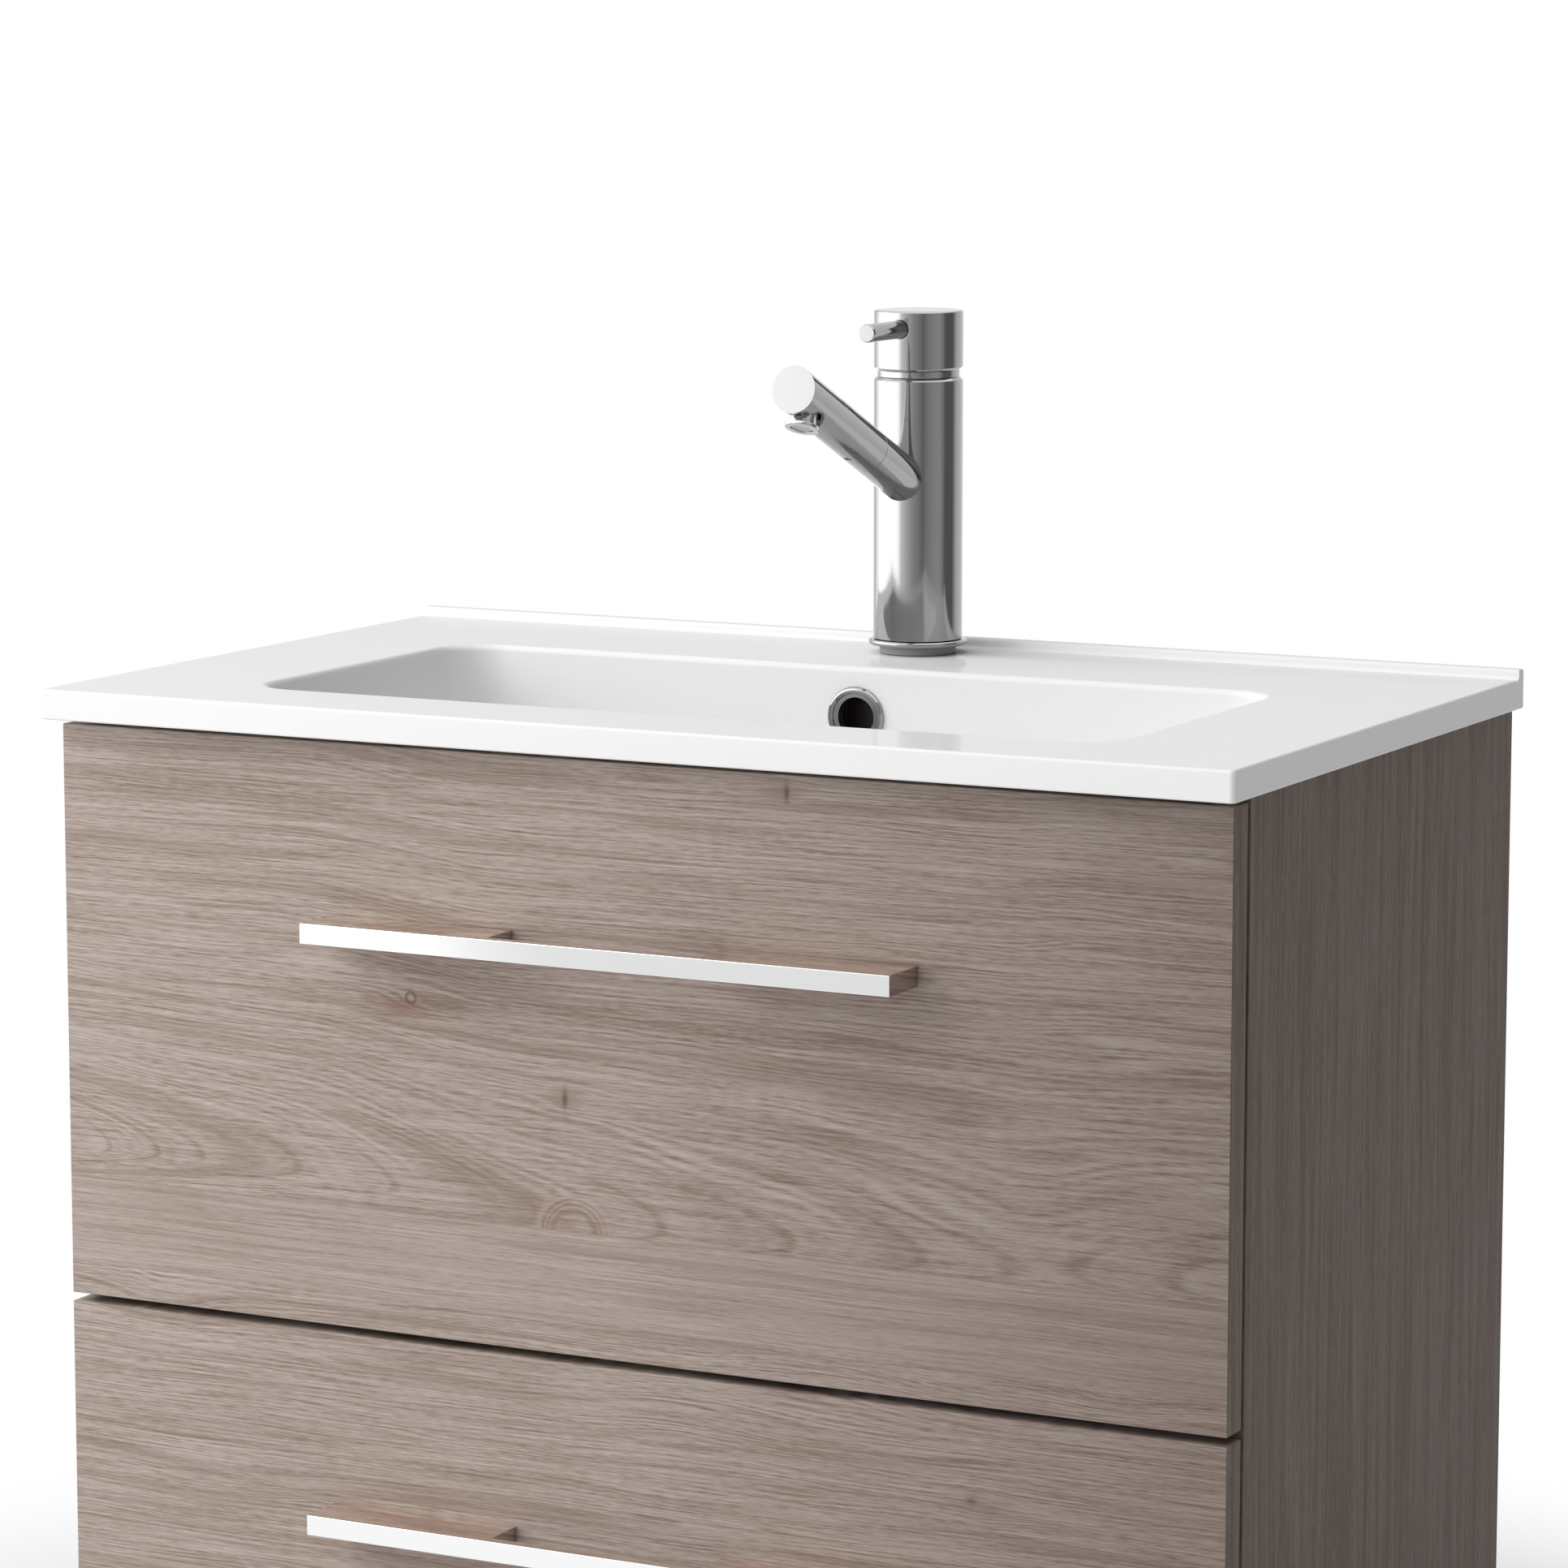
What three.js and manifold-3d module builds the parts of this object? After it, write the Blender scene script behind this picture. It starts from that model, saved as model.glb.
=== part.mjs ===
// A wall-hung washstand: a two-drawer cabinet, a ceramic slab basin, a mixer tap and its waste.
// Millimetres, +X right, +Y towards the wall, +Z up from the cabinet's underside.
import * as THREE from "three";
import { mergeVertices } from "three/addons/utils/BufferGeometryUtils.js";
import Module from "manifold-3d";

const wasm = await Module();
wasm.setup();

// Fits and shared values
const seat = 0.25; // gap between two pieces that rest on each other
const turnedSeat = 0.3; // the same, inside the tilted spout
const overrun = 2; // how far a cutting tool runs past what it cuts
const turnSegments = 36;
const pipeSegments = 28;
const smallSegments = 20;
const cornerSegments = 6;
const columnSegments = 42; // round the tap's column and its cap
const nutSides = 8;

// Basin: a ceramic slab with a sunk bowl
const basinWidth = 610;
const basinDepth = 361;
const basinEdge = 14.4; // height of the slab's visible edge
const basinSkin = 9; // ceramic under the deck and round the bowl
const basinLip = 16; // rim of the underside, which rests on the cabinet
const basinEdgeRound = 1.6;
const basinCornerRound = 2.5;
const upstandHeight = 4.7;
const upstandDepth = 8.3;
const upstandRound = 1.8;
const bowlSideDeck = 83; // from the slab's side edge to the bowl's rim
const bowlFront = 54; // from the slab's front edge to the bowl's rim
const bowlBackDeck = 107; // from the bowl's rim to the wall
const bowlFall = 110; // from the deck to the outlet
const bowlCornerRound = 26;
const bowlRimRound = 3;
const bowlWallStraight = 42; // height of the upright part of the bowl's walls
const bowlWallLean = 6; // how far the walls lean in below that
const bowlFloorRound = 28;
const bowlFloorSlope = 4;
const tapHoleRadius = 17.5;
const tapBackset = 38.5; // from the wall to the tap's axis
const outletHoleRadius = 23;
const outletBossRadius = 37;
const outletBossDrop = 24; // ceramic under the bowl's floor at the outlet
const flangeRecessRadius = 33;
const flangeRecessDepth = 3;
const ductWidth = 26;
const ductDepth = 10;
const ductWall = 5;
const overflowDrop = 24.6; // from the deck down to the overflow's centre
const overflowHoleRadius = 11.2;

// Overflow ring
const overflowRingRadius = 15;
const overflowRingProud = 2.6;
const overflowRingLip = 1.2;
const overflowBoreRadius = 9.6;
const overflowTubeLength = 5;

// Cabinet
const basinOverhang = 5; // how far the slab reaches past the cabinet on each side
const board = 16;
const topReveal = 3; // dark line between the basin and the upper front
const frontHeight = 276;
const frontGap = 4;
const bottomReveal = 1;
const frontSetback = 12; // from the slab's front edge to the drawer fronts
const frontShadowGap = 2.75; // between a closed front and the carcass
const backSetback = 2.75; // from the wall to the carcass
const frontRailHeight = 30;
const frontRailGap = 2.75; // from the front rail to the basin's bowl
const frontRailSheet = 1.5;
const rearRailHeight = 60;
const lowerRailGap = 15.4; // from the wall flange down to the lower rear rail

// Hanging hardware
const wallRailHeight = 34;
const wallRailSheet = 1.5;
const wallRailStep = 5;
const wallRailLip = 12;
const wallRailDrop = 130; // from the cabinet's top to the wall rail's foot
const hangerWidth = 20;
const hangerDepth = 22;
const hangerHeight = 46;
const hookSheet = 2;
const hookGrip = 9;

// Handles
const handleWidth = 302;
const handleHeight = 9.6;
const handleProjection = 28.75;
const handleGripWidth = 109;
const handleBarDepth = 5.5;
const handleDrop = 80.4; // from the top of a front to the top of its handle

// Drawer boxes and runners
const drawerSide = 12;
const drawerBottom = 10;
const drawerSideGap = 6; // between a drawer's side and the carcass
const drawerBackGap = 40; // from a drawer box to the carcass's back edge
const upperBoxDrop = 122; // from the top of the upper front to its drawer box
const lowerBoxDrop = 58; // the same for the lower one
const boxGap = 13; // from the bottom panel to the lower drawer box
const runnerBackGap = 27.25; // from a cabinet runner to the carcass's back edge
const runnerSheet = 1.5;
const runnerLegHeight = 34;
const runnerFootWidth = 26;
const runnerLipHeight = 5;
const slideWidth = 16;
const slideHeight = 9;
const slidePlay = 0.5;
const trapClearance = 20; // from the trap to the upper drawer's cut-out
const surroundWall = 10;

// Waste and bottle trap
const wasteFlangeRadius = 31.5;
const wasteFlangeThickness = 2.4;
const wasteSeatRadius = 24;
const wasteTubeRadius = 20.9;
const wasteBoreRadius = 18;
const wasteLength = 68;
const wasteSlotWidth = 14;
const guideDrop = 34;
const guideThickness = 4;
const guideRing = 1.6;
const guideLedge = 0.8; // step in the waste's bore that carries the guide
const guideArm = 3;
const guideBossRadius = 6;
const plugRadius = 31;
const plugEdge = 2.6;
const plugCrown = 2.2;
const plugSkirtRadius = 16.5;
const plugSkirt = 9;
const plugStemRadius = 3;
const plugStemLength = 46;
const sealThickness = 4;
const sealRadius = 30;
const wasteNutRadius = 32;
const wasteNutHeight = 10;
const threadPlay = 0.3;
const trapPipeRadius = 16;
const trapPipeWall = 1.4;
const trapPipeCollar = 1.8;
const slipNutRadius = 25.5;
const slipNutHeight = 20;
const slipNutShoulder = 3.5;
const dipLength = 100;
const trapTopDrop = 20; // from the waste's end to the trap's neck
const trapNeckRadius = 21;
const trapNeckHeight = 10;
const trapRadius = 31;
const trapWall = 2.6;
const trapBodyHeight = 42;
const trapCupHeight = 50;
const trapCupRound = 12;
const trapSpigot = 6;
const trapBranchRadius = 18.5;
const trapBranchReach = 50;
const wallFlangeRadius = 34;
const wallFlangeDepth = 8;

// Mixer
const gasketRadius = 19;
const gasketHeight = 4;
const baseRingRadius = 24.5;
const baseRingHeight = 2.8;
const baseRingRound = 0.7;
const mixerRadius = 22.1;
const mixerTop = 137.5; // from the deck to the top of the body
const mixerTopChamfer = 1.4;
const spigotRadius = 16.5;
const spigotLength = 6; // how far the body's spigot reaches below the deck
const cartridgeBoreRadius = 17.5;
const cartridgeBoreDepth = 42.5;
const waterwayRadius = 6;
const inletRadius = 5;
const inletDepth = 34;
const inletSpacing = 20;
const inletFeedRadius = 2.2;
const inletSetback = 6;
const studSetforward = 9;
const studRadius = 4;
const studPlay = 0.3;
const studEntry = 14;
const studLength = 62;
const washerRadius = 21;
const washerThickness = 3;
const washerSlotWidth = 26;
const fixingNutAcross = 13;
const fixingNutHeight = 8;

// Spout and aerator, along the spout's own axis
const spoutRise = 80; // from the deck to where the spout's axis leaves the column's
const spoutElevation = 23.7;
const spoutRadius = 11.2;
const spoutLength = 148.4;
const spoutEndLean = 12;
const spoutSeam = 63;
const spoutSpigotRadius = 9;
const spoutSpigotLength = 32;
const spoutPlay = 0.3;
const setScrewReach = 81;
const setScrewRadius = 1.6;
const aeratorReach = 133;
const aeratorRecessRadius = 9.6;
const aeratorSeatDrop = 4; // from the spout's axis to the bottom of the recess
const aeratorNeckRadius = 6.4;
const aeratorFlangeRadius = 8.4;
const aeratorFlangeThickness = 2.2;
const aeratorDrop = 14.7; // from the spout's axis to the aerator's face
const aeratorBoreRadius = 5.4;
const aeratorFaceInset = 0.8;
const aeratorCoreDepth = 6;
const aeratorCells = 5;
const aeratorCellShare = 0.62; // of the core's pitch that is open
const spoutChannelEnd = 138;

// Cartridge and lever
const cartridgePlay = 0.4;
const cartridgeLength = 37.5;
const cartridgeNutHeight = 3.6;
const cartridgeNutBore = 11;
const pivotRise = 2.1; // from the body's top to the lever's pivot
const domeRadius = 20.4;
const domeCrown = 7; // from the pivot to the dome's flat top
const domeBore = 13;
const carrierRadius = 9;
const carrierHeight = 9;
const carrierDrop = 2; // from the pivot to the carrier's top
const ballRadius = 5;
const spindleRadius = 3.6;
const spindleTop = 20; // from the pivot to the top of the spindle
const capTop = 30.8; // from the pivot to the cap's top
const capLip = 1.5; // from the pivot to the cap's lower edge, on the axis
const capLipSlope = 2;
const capChamfer = 1.6;
const capTopRound = 1;
const capBoreRadius = 20.8;
const capCeiling = 13.5; // from the pivot to the top of the cap's bore
const capBossRadius = 6.5;
const capBossFoot = 7; // from the pivot to the foot of the boss that grips the spindle
const pinRise = 22.2; // from the pivot to the lever pin's axis
const pinRadius = 4.5;
const pinReach = 58.3; // from the column's axis to the pin's tip
const pinEndRound = 0.6;
const pinRoot = 16; // from the column's axis to the pin's inner end

// Worked out from the values above
const cabinetWidth = basinWidth - 2 * basinOverhang;
const bowlWidth = basinWidth - 2 * bowlSideDeck;
const bowlDepth = basinDepth - bowlFront - bowlBackDeck;
const tapAxis = basinDepth - tapBackset;
const cabinetHeight = topReveal + 2 * frontHeight + frontGap + bottomReveal;
const wallRailRise = cabinetHeight - wallRailDrop;
const boxRise = board - bottomReveal + boxGap;
const upperBoxHeight = frontHeight - boxRise - upperBoxDrop;
const lowerBoxHeight = frontHeight - boxRise - lowerBoxDrop;
const wallFace = basinDepth;
const frontmost = frontSetback - handleProjection;
const middle = (wallFace + frontmost) / 2;
const carcassFront = frontSetback + board + frontShadowGap;
const carcassBack = wallFace - backSetback;
const carcassInside = cabinetWidth / 2 - board;
const frontBack = frontSetback + board;
const frontRailDepth = bowlFront - basinSkin - frontRailGap - carcassFront;
const bowlCentre = bowlFront + bowlDepth / 2;
const bowlBack = bowlFront + bowlDepth;
const bowlFloor = basinEdge - bowlFall;
const bossUnderside = bowlFloor - outletBossDrop;
const overflowZ = basinEdge - overflowDrop;
const ductTop = overflowZ + overflowHoleRadius;
const ductInner = bowlBack + ductWall;
const ductOuter = ductInner + ductDepth;
const wasteEnd = bowlFloor - wasteLength;
const guideTop = bowlFloor - guideDrop;
const guideFoot = guideTop - guideThickness;
const plugSeat = bowlFloor + seat;
const trapTop = wasteEnd - trapTopDrop;
const trapShoulder = trapTop - trapNeckHeight;
const trapSplit = trapShoulder - trapBodyHeight;
const trapBottom = trapSplit - trapCupHeight;
const branchZ = (trapShoulder + trapSplit) / 2;
const lowerRailTop = cabinetHeight + branchZ - wallFlangeRadius - lowerRailGap;
const cutOutHalf = trapRadius + trapClearance;
const lowerFrontBottom = bottomReveal;
const upperFrontBottom = lowerFrontBottom + frontHeight + frontGap;
const boxHalf = carcassInside - drawerSideGap;
const boxBack = carcassBack - drawerBackGap;
const gasketFoot = seat;
const ringFoot = gasketFoot + gasketHeight + seat;
const mixerFoot = ringFoot + baseRingHeight + seat;
const pivotZ = mixerTop + pivotRise;
const spoutTurn = THREE.MathUtils.degToRad(90 - spoutElevation);

// Finishes
function finish(color, roughness, metalness) {
  return new THREE.MeshStandardMaterial({ color, roughness, metalness });
}
const woodFront = finish("#a5968c", 0.5, 0);
const woodSide = finish("#6f655f", 0.55, 0);
const drawerBoard = finish("#b9b4ae", 0.6, 0);
const ceramic = finish("#f4f4f2", 0.12, 0);
const chrome = finish("#d6d8da", 0.08, 1);
const steel = finish("#a9adb0", 0.35, 1);
const brass = finish("#b79a52", 0.35, 1);
const rubber = finish("#1b1b1c", 0.8, 0);
const plastic = finish("#e6e6e2", 0.45, 0);

// Solids
function solidOf(geometry) {
  const bare = geometry.clone();
  bare.deleteAttribute("normal");
  bare.deleteAttribute("uv");
  const merged = mergeVertices(bare);
  const made = new wasm.Mesh({
    numProp: 3,
    vertProperties: new Float32Array(merged.attributes.position.array),
    triVerts: new Uint32Array(merged.index.array),
  });
  return new wasm.Manifold(made);
}

function geometryOf(solid) {
  const made = solid.getMesh();
  const geometry = new THREE.BufferGeometry();
  geometry.setAttribute("position", new THREE.BufferAttribute(made.vertProperties, 3));
  geometry.setIndex(new THREE.BufferAttribute(made.triVerts, 1));
  geometry.computeVertexNormals();
  return geometry;
}

function join(first, ...others) {
  return geometryOf(others.reduce((sum, one) => sum.add(solidOf(one)), solidOf(first)));
}

function cut(first, ...tools) {
  return geometryOf(tools.reduce((rest, one) => rest.subtract(solidOf(one)), solidOf(first)));
}

function common(first, second) {
  return geometryOf(solidOf(first).intersect(solidOf(second)));
}

// A box between two values on each axis.
function block(x0, x1, y0, y1, z0, z1) {
  const box = new THREE.BoxGeometry(x1 - x0, y1 - y0, z1 - z0);
  return box.translate((x0 + x1) / 2, (y0 + y1) / 2, (z0 + z1) / 2);
}

// A solid of revolution about Z from a profile of [radius, z] that runs counter-clockwise.
function turned(profile, segments = turnSegments) {
  const points = profile.map(([r, z]) => new THREE.Vector2(r, z));
  return new THREE.LatheGeometry(points, segments).rotateX(Math.PI / 2);
}

function rod(radius, z0, z1, segments = turnSegments) {
  return turned([[0, z0], [radius, z0], [radius, z1], [0, z1]], segments);
}

function ring(inner, outer, z0, z1, segments = turnSegments) {
  return turned([[inner, z0], [outer, z0], [outer, z1], [inner, z1], [inner, z0]], segments);
}

function hexagon(across, z0, z1) {
  return rod(across / Math.sqrt(3), z0, z1, 6);
}

// The same section all along Y, from a list of [x, z].
function alongY(section, y0, y1) {
  const shape = new THREE.Shape(section.map(([x, z]) => new THREE.Vector2(x, z)));
  const bar = new THREE.ExtrudeGeometry(shape, { depth: y1 - y0, bevelEnabled: false });
  return bar.rotateX(Math.PI / 2).translate(0, y1, 0);
}

// The same section all along X, from a list of [y, z].
function alongX(section, x0, x1) {
  const shape = new THREE.Shape(section.map(([y, z]) => new THREE.Vector2(y, z)));
  const bar = new THREE.ExtrudeGeometry(shape, { depth: x1 - x0, bevelEnabled: false });
  return bar.rotateX(Math.PI / 2).rotateZ(Math.PI / 2).translate(x0, 0, 0);
}

// A closed body through rings of as many points each, from the lowest ring to the highest.
function loft(rings) {
  const count = rings[0].length;
  const points = rings.flat();
  const faces = [];
  for (let i = 0; i + 1 < rings.length; i += 1) {
    for (let j = 0; j < count; j += 1) {
      const a = i * count + j;
      const b = i * count + ((j + 1) % count);
      faces.push(a, b, b + count, a, b + count, a + count);
    }
  }
  const top = (rings.length - 1) * count;
  for (let j = 1; j + 1 < count; j += 1) {
    faces.push(0, j + 1, j, top, top + j, top + j + 1);
  }
  const geometry = new THREE.BufferGeometry().setFromPoints(points);
  geometry.setIndex(faces);
  geometry.computeVertexNormals();
  return geometry;
}

// A ring of points round a rectangle with round corners.
function roundedRing(halfX, halfY, radius, centreY, z) {
  const points = [];
  const corners = [[1, 1], [-1, 1], [-1, -1], [1, -1]];
  corners.forEach(([sx, sy], quarter) => {
    for (let i = 0; i <= cornerSegments; i += 1) {
      const turn = (quarter + i / cornerSegments) * Math.PI / 2;
      const x = sx * (halfX - radius) + radius * Math.cos(turn);
      const y = sy * (halfY - radius) + radius * Math.sin(turn);
      points.push(new THREE.Vector3(x, centreY + y, z));
    }
  });
  return points;
}

function piece(name, geometry, material, parent) {
  const mesh = new THREE.Mesh(geometry, material);
  mesh.name = name;
  parent.add(mesh);
  return mesh;
}

const sides = [["left", -1], ["right", 1]];

// A box on one side of the middle: its |x| runs from near to far.
function sideBlock(sign, near, far, y0, y1, z0, z1) {
  return block(Math.min(sign * near, sign * far), Math.max(sign * near, sign * far), y0, y1, z0, z1);
}

// Cabinet
function addCabinet(parent) {
  for (const [side, sign] of sides) {
    const panel = sideBlock(
      sign, carcassInside, cabinetWidth / 2, carcassFront, carcassBack, 0, cabinetHeight - seat,
    );
    piece("side_panel_" + side, panel, woodSide, parent);
  }
  const inside = carcassInside - seat;
  piece("bottom_panel", block(-inside, inside, carcassFront, carcassBack, 0, board), woodSide, parent);
  piece("front_rail", frontRail(inside), steel, parent);
  const railFront = carcassBack - board;
  const topRail = block(
    -inside, inside, railFront, carcassBack, cabinetHeight - seat - rearRailHeight, cabinetHeight - seat,
  );
  piece("top_rear_rail", topRail, woodSide, parent);
  const lowerRail = block(
    -inside, inside, railFront, carcassBack, lowerRailTop - rearRailHeight, lowerRailTop,
  );
  piece("lower_rear_rail", lowerRail, woodSide, parent);
}

function frontRail(inside) {
  const top = cabinetHeight - seat;
  const web = block(
    -inside, inside, carcassFront, carcassFront + frontRailSheet, top - frontRailHeight, top,
  );
  const flange = block(
    -inside, inside, carcassFront, carcassFront + frontRailDepth, top - frontRailSheet, top,
  );
  return join(web, flange);
}

// Hangers hook over a rail that is screwed to the wall.
function addHangers(parent) {
  const back = wallFace;
  const sheetFront = back - wallRailSheet;
  const lipBack = sheetFront - wallRailStep + wallRailSheet;
  const lipFront = lipBack - wallRailSheet;
  const stepZ = wallRailRise + wallRailHeight;
  const lipTop = stepZ + wallRailLip;
  const section = [
    [back, wallRailRise], [back, stepZ], [lipBack, stepZ], [lipBack, lipTop],
    [lipFront, lipTop], [lipFront, stepZ - wallRailSheet], [sheetFront, stepZ - wallRailSheet],
    [sheetFront, wallRailRise],
  ];
  const half = carcassInside - seat;
  piece("wall_rail", alongX(section, -half, half), steel, parent);
  for (const [side, sign] of sides) {
    piece("hanger_" + side, hanger(sign, lipFront, lipBack, lipTop), steel, parent);
  }
}

function hanger(sign, lipFront, lipBack, lipTop) {
  const far = carcassInside - seat;
  const near = far - hangerWidth;
  const hookTop = lipTop + seat + hookSheet;
  const bodyBack = lipFront - seat;
  const bodyFront = bodyBack - hangerDepth;
  const toothFront = lipBack + seat;
  const body = sideBlock(
    sign, near, far, bodyFront, bodyBack, hookTop - hangerHeight, hookTop,
  );
  const arm = sideBlock(
    sign, near, far, bodyFront, toothFront + hookSheet, lipTop + seat, hookTop,
  );
  const tooth = sideBlock(
    sign, near, far, toothFront, toothFront + hookSheet, hookTop - hookGrip, hookTop,
  );
  return join(body, arm, tooth);
}

// Cabinet runners: an angle on the side panel with an upturned lip that guides the slide
function cabinetRunner(sign, boxBottom) {
  const wall = sign * (carcassInside - seat);
  const sheet = sign * runnerSheet;
  const foot = boxBottom - seat - slideHeight - slidePlay - runnerSheet;
  const inner = wall - sign * runnerFootWidth;
  const section = [
    [wall, foot], [wall, foot + runnerLegHeight], [wall - sheet, foot + runnerLegHeight],
    [wall - sheet, foot + runnerSheet], [inner + sheet, foot + runnerSheet],
    [inner + sheet, foot + runnerLipHeight], [inner, foot + runnerLipHeight], [inner, foot],
  ];
  const outline = sign > 0 ? section : section.reverse();
  return alongY(outline, carcassFront + seat, carcassBack - runnerBackGap);
}

// Drawer slides: a channel, open below, under the box's side
function drawerSlide(sign, boxBottom) {
  const outer = sign * boxHalf;
  const inner = sign * (boxHalf - slideWidth);
  const sheet = sign * runnerSheet;
  const top = boxBottom - seat;
  const foot = top - slideHeight;
  const section = [
    [outer, foot], [outer, top], [inner, top], [inner, foot],
    [inner + sheet, foot], [inner + sheet, top - runnerSheet],
    [outer - sheet, top - runnerSheet], [outer - sheet, foot],
  ];
  const outline = sign > 0 ? section : section.reverse();
  return alongY(outline, carcassFront + seat, boxBack);
}

function handle(top) {
  const half = handleWidth / 2;
  const front = frontSetback - handleProjection;
  const back = frontSetback - seat;
  const bar = block(-half, half, front, back, top - handleHeight, top);
  const grip = handleGripWidth / 2;
  const recess = block(
    -grip, grip, front + handleBarDepth, back + overrun, top - handleHeight - overrun, top + overrun,
  );
  return cut(bar, recess);
}

// A drawer: front, handle, box and slides; the upper one goes round the trap
function addDrawer(name, frontBottom, boxHeight, aroundTrap, parent) {
  const frontTop = frontBottom + frontHeight;
  const half = cabinetWidth / 2;
  const boxBottom = frontBottom + boxRise;
  const boxTop = boxBottom + boxHeight;
  const boxFront = frontBack + seat;
  const between = boxHalf - drawerSide - seat;
  const floorTop = boxBottom + drawerBottom;
  const front = block(-half, half, frontSetback, frontBack, frontBottom, frontTop);
  piece(name + "_front", front, woodFront, parent);
  piece(name + "_handle", handle(frontTop - handleDrop), chrome, parent);
  for (const [side, sign] of sides) {
    const wall = sideBlock(sign, boxHalf - drawerSide, boxHalf, boxFront, boxBack, boxBottom, boxTop);
    piece(name + "_side_" + side, wall, drawerBoard, parent);
    piece(name + "_slide_" + side, drawerSlide(sign, boxBottom), steel, parent);
  }
  const floor = block(-between, between, boxFront, boxBack, boxBottom, floorTop);
  const back = block(-between, between, boxBack - drawerSide, boxBack, floorTop + seat, boxTop);
  if (!aroundTrap) {
    piece(name + "_bottom", floor, drawerBoard, parent);
    piece(name + "_back", back, drawerBoard, parent);
    return;
  }
  const opening = block(
    -cutOutHalf, cutOutHalf, bowlCentre - cutOutHalf, boxBack + overrun,
    boxBottom - overrun, boxTop + overrun,
  );
  const outer = cutOutHalf + surroundWall;
  const surround = block(-outer, outer, bowlCentre - outer, boxBack, floorTop + seat, boxTop);
  piece(name + "_bottom", cut(floor, opening), drawerBoard, parent);
  piece(name + "_back_surround", cut(join(back, surround), opening), drawerBoard, parent);
}

function addDrawers(parent) {
  const drawers = [
    ["upper", upperFrontBottom, upperBoxHeight, true],
    ["lower", lowerFrontBottom, lowerBoxHeight, false],
  ];
  for (const [name, frontBottom, boxHeight, aroundTrap] of drawers) {
    for (const [side, sign] of sides) {
      const runner = cabinetRunner(sign, frontBottom + boxRise);
      piece(name + "_cabinet_runner_" + side, runner, steel, parent);
    }
    addDrawer(name, frontBottom, boxHeight, aroundTrap, parent);
  }
}

// Basin, with Z measured from the slab's underside
function slabRing(inset, z) {
  const halfX = basinWidth / 2 - inset;
  const halfY = basinDepth / 2 - inset;
  return roundedRing(halfX, halfY, basinCornerRound - inset / 2, basinDepth / 2, z);
}

function slab() {
  const rings = [slabRing(0, 0)];
  const steps = 3;
  for (let i = 0; i <= steps; i += 1) {
    const turn = i / steps * Math.PI / 2;
    const inset = basinEdgeRound * (1 - Math.cos(turn));
    rings.push(slabRing(inset, basinEdge - basinEdgeRound * (1 - Math.sin(turn))));
  }
  return loft(rings);
}

// The low kerb along the wall, rounded on top and filleted to the deck
function upstand() {
  const back = basinDepth + overrun;
  const face = basinDepth - upstandDepth;
  const top = basinEdge + upstandHeight;
  const low = basinEdge - basinEdgeRound - basinEdgeRound;
  const section = [[back, low], [back, top]];
  const steps = 4;
  for (let i = 0; i <= steps; i += 1) {
    const turn = i / steps * Math.PI / 2;
    const y = face + upstandRound * (1 - Math.sin(turn));
    section.push([y, top - upstandRound * (1 - Math.cos(turn))]);
  }
  for (let i = 0; i <= steps; i += 1) {
    const turn = i / steps * Math.PI / 2;
    const y = face - upstandRound * (1 - Math.cos(turn));
    section.push([y, basinEdge + upstandRound * (1 - Math.sin(turn))]);
  }
  section.push([face - upstandRound, low]);
  const half = basinWidth / 2 + overrun;
  const kerb = alongX(section, -half, half);
  const outline = loft([slabRing(0, 0), slabRing(0, top + overrun)]);
  return common(kerb, outline);
}

// How far the bowl's wall stands in from its rim, with the depth, from the floor to the rim
function bowlWall() {
  const steps = 5;
  const wall = [];
  const floorZ = bowlFloor + bowlFloorSlope;
  for (let i = 0; i <= steps; i += 1) {
    const turn = i / steps * Math.PI / 2;
    const inset = bowlWallLean + bowlFloorRound * (1 - Math.sin(turn));
    wall.push([inset, floorZ + bowlFloorRound * (1 - Math.cos(turn))]);
  }
  wall.push([0, basinEdge - bowlWallStraight]);
  for (let i = 0; i <= steps; i += 1) {
    const turn = i / steps * Math.PI / 2;
    const inset = -bowlRimRound * (1 - Math.cos(turn));
    wall.push([inset, basinEdge - bowlRimRound * (1 - Math.sin(turn))]);
  }
  return wall;
}

function bowlRing(inset, z, round = bowlCornerRound) {
  return roundedRing(bowlWidth / 2 - inset, bowlDepth / 2 - inset, round, bowlCentre, z);
}

function bowlHollow() {
  const wall = bowlWall().map(([inset, z]) => bowlRing(inset, z));
  const drain = roundedRing(
    flangeRecessRadius, flangeRecessRadius, flangeRecessRadius, bowlCentre, bowlFloor,
  );
  return loft([drain, ...wall, bowlRing(-bowlRimRound, basinEdge + overrun)]);
}

function bowlShell() {
  const outside = bowlWall().filter(([inset]) => inset >= 0);
  const rings = outside.map(([inset, z]) => bowlRing(
    inset - basinSkin, Math.min(z - basinSkin, basinEdge - basinSkin), bowlCornerRound + basinSkin,
  ));
  return loft([...rings, bowlRing(-basinSkin, basinEdge - bowlRimRound)]);
}

// The overflow's duct: down behind the bowl and forward under its floor to the outlet
function duct(wall) {
  const half = ductWidth / 2 + wall;
  const front = ductInner - wall;
  const back = ductOuter + wall;
  const floorTop = bowlFloor - ductWall + wall;
  const low = bowlFloor - ductWall - ductDepth - wall;
  const down = block(-half, half, front, back, low, ductTop + wall);
  const under = block(-half, half, bowlCentre, back, low, floorTop);
  return join(down, under);
}

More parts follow.
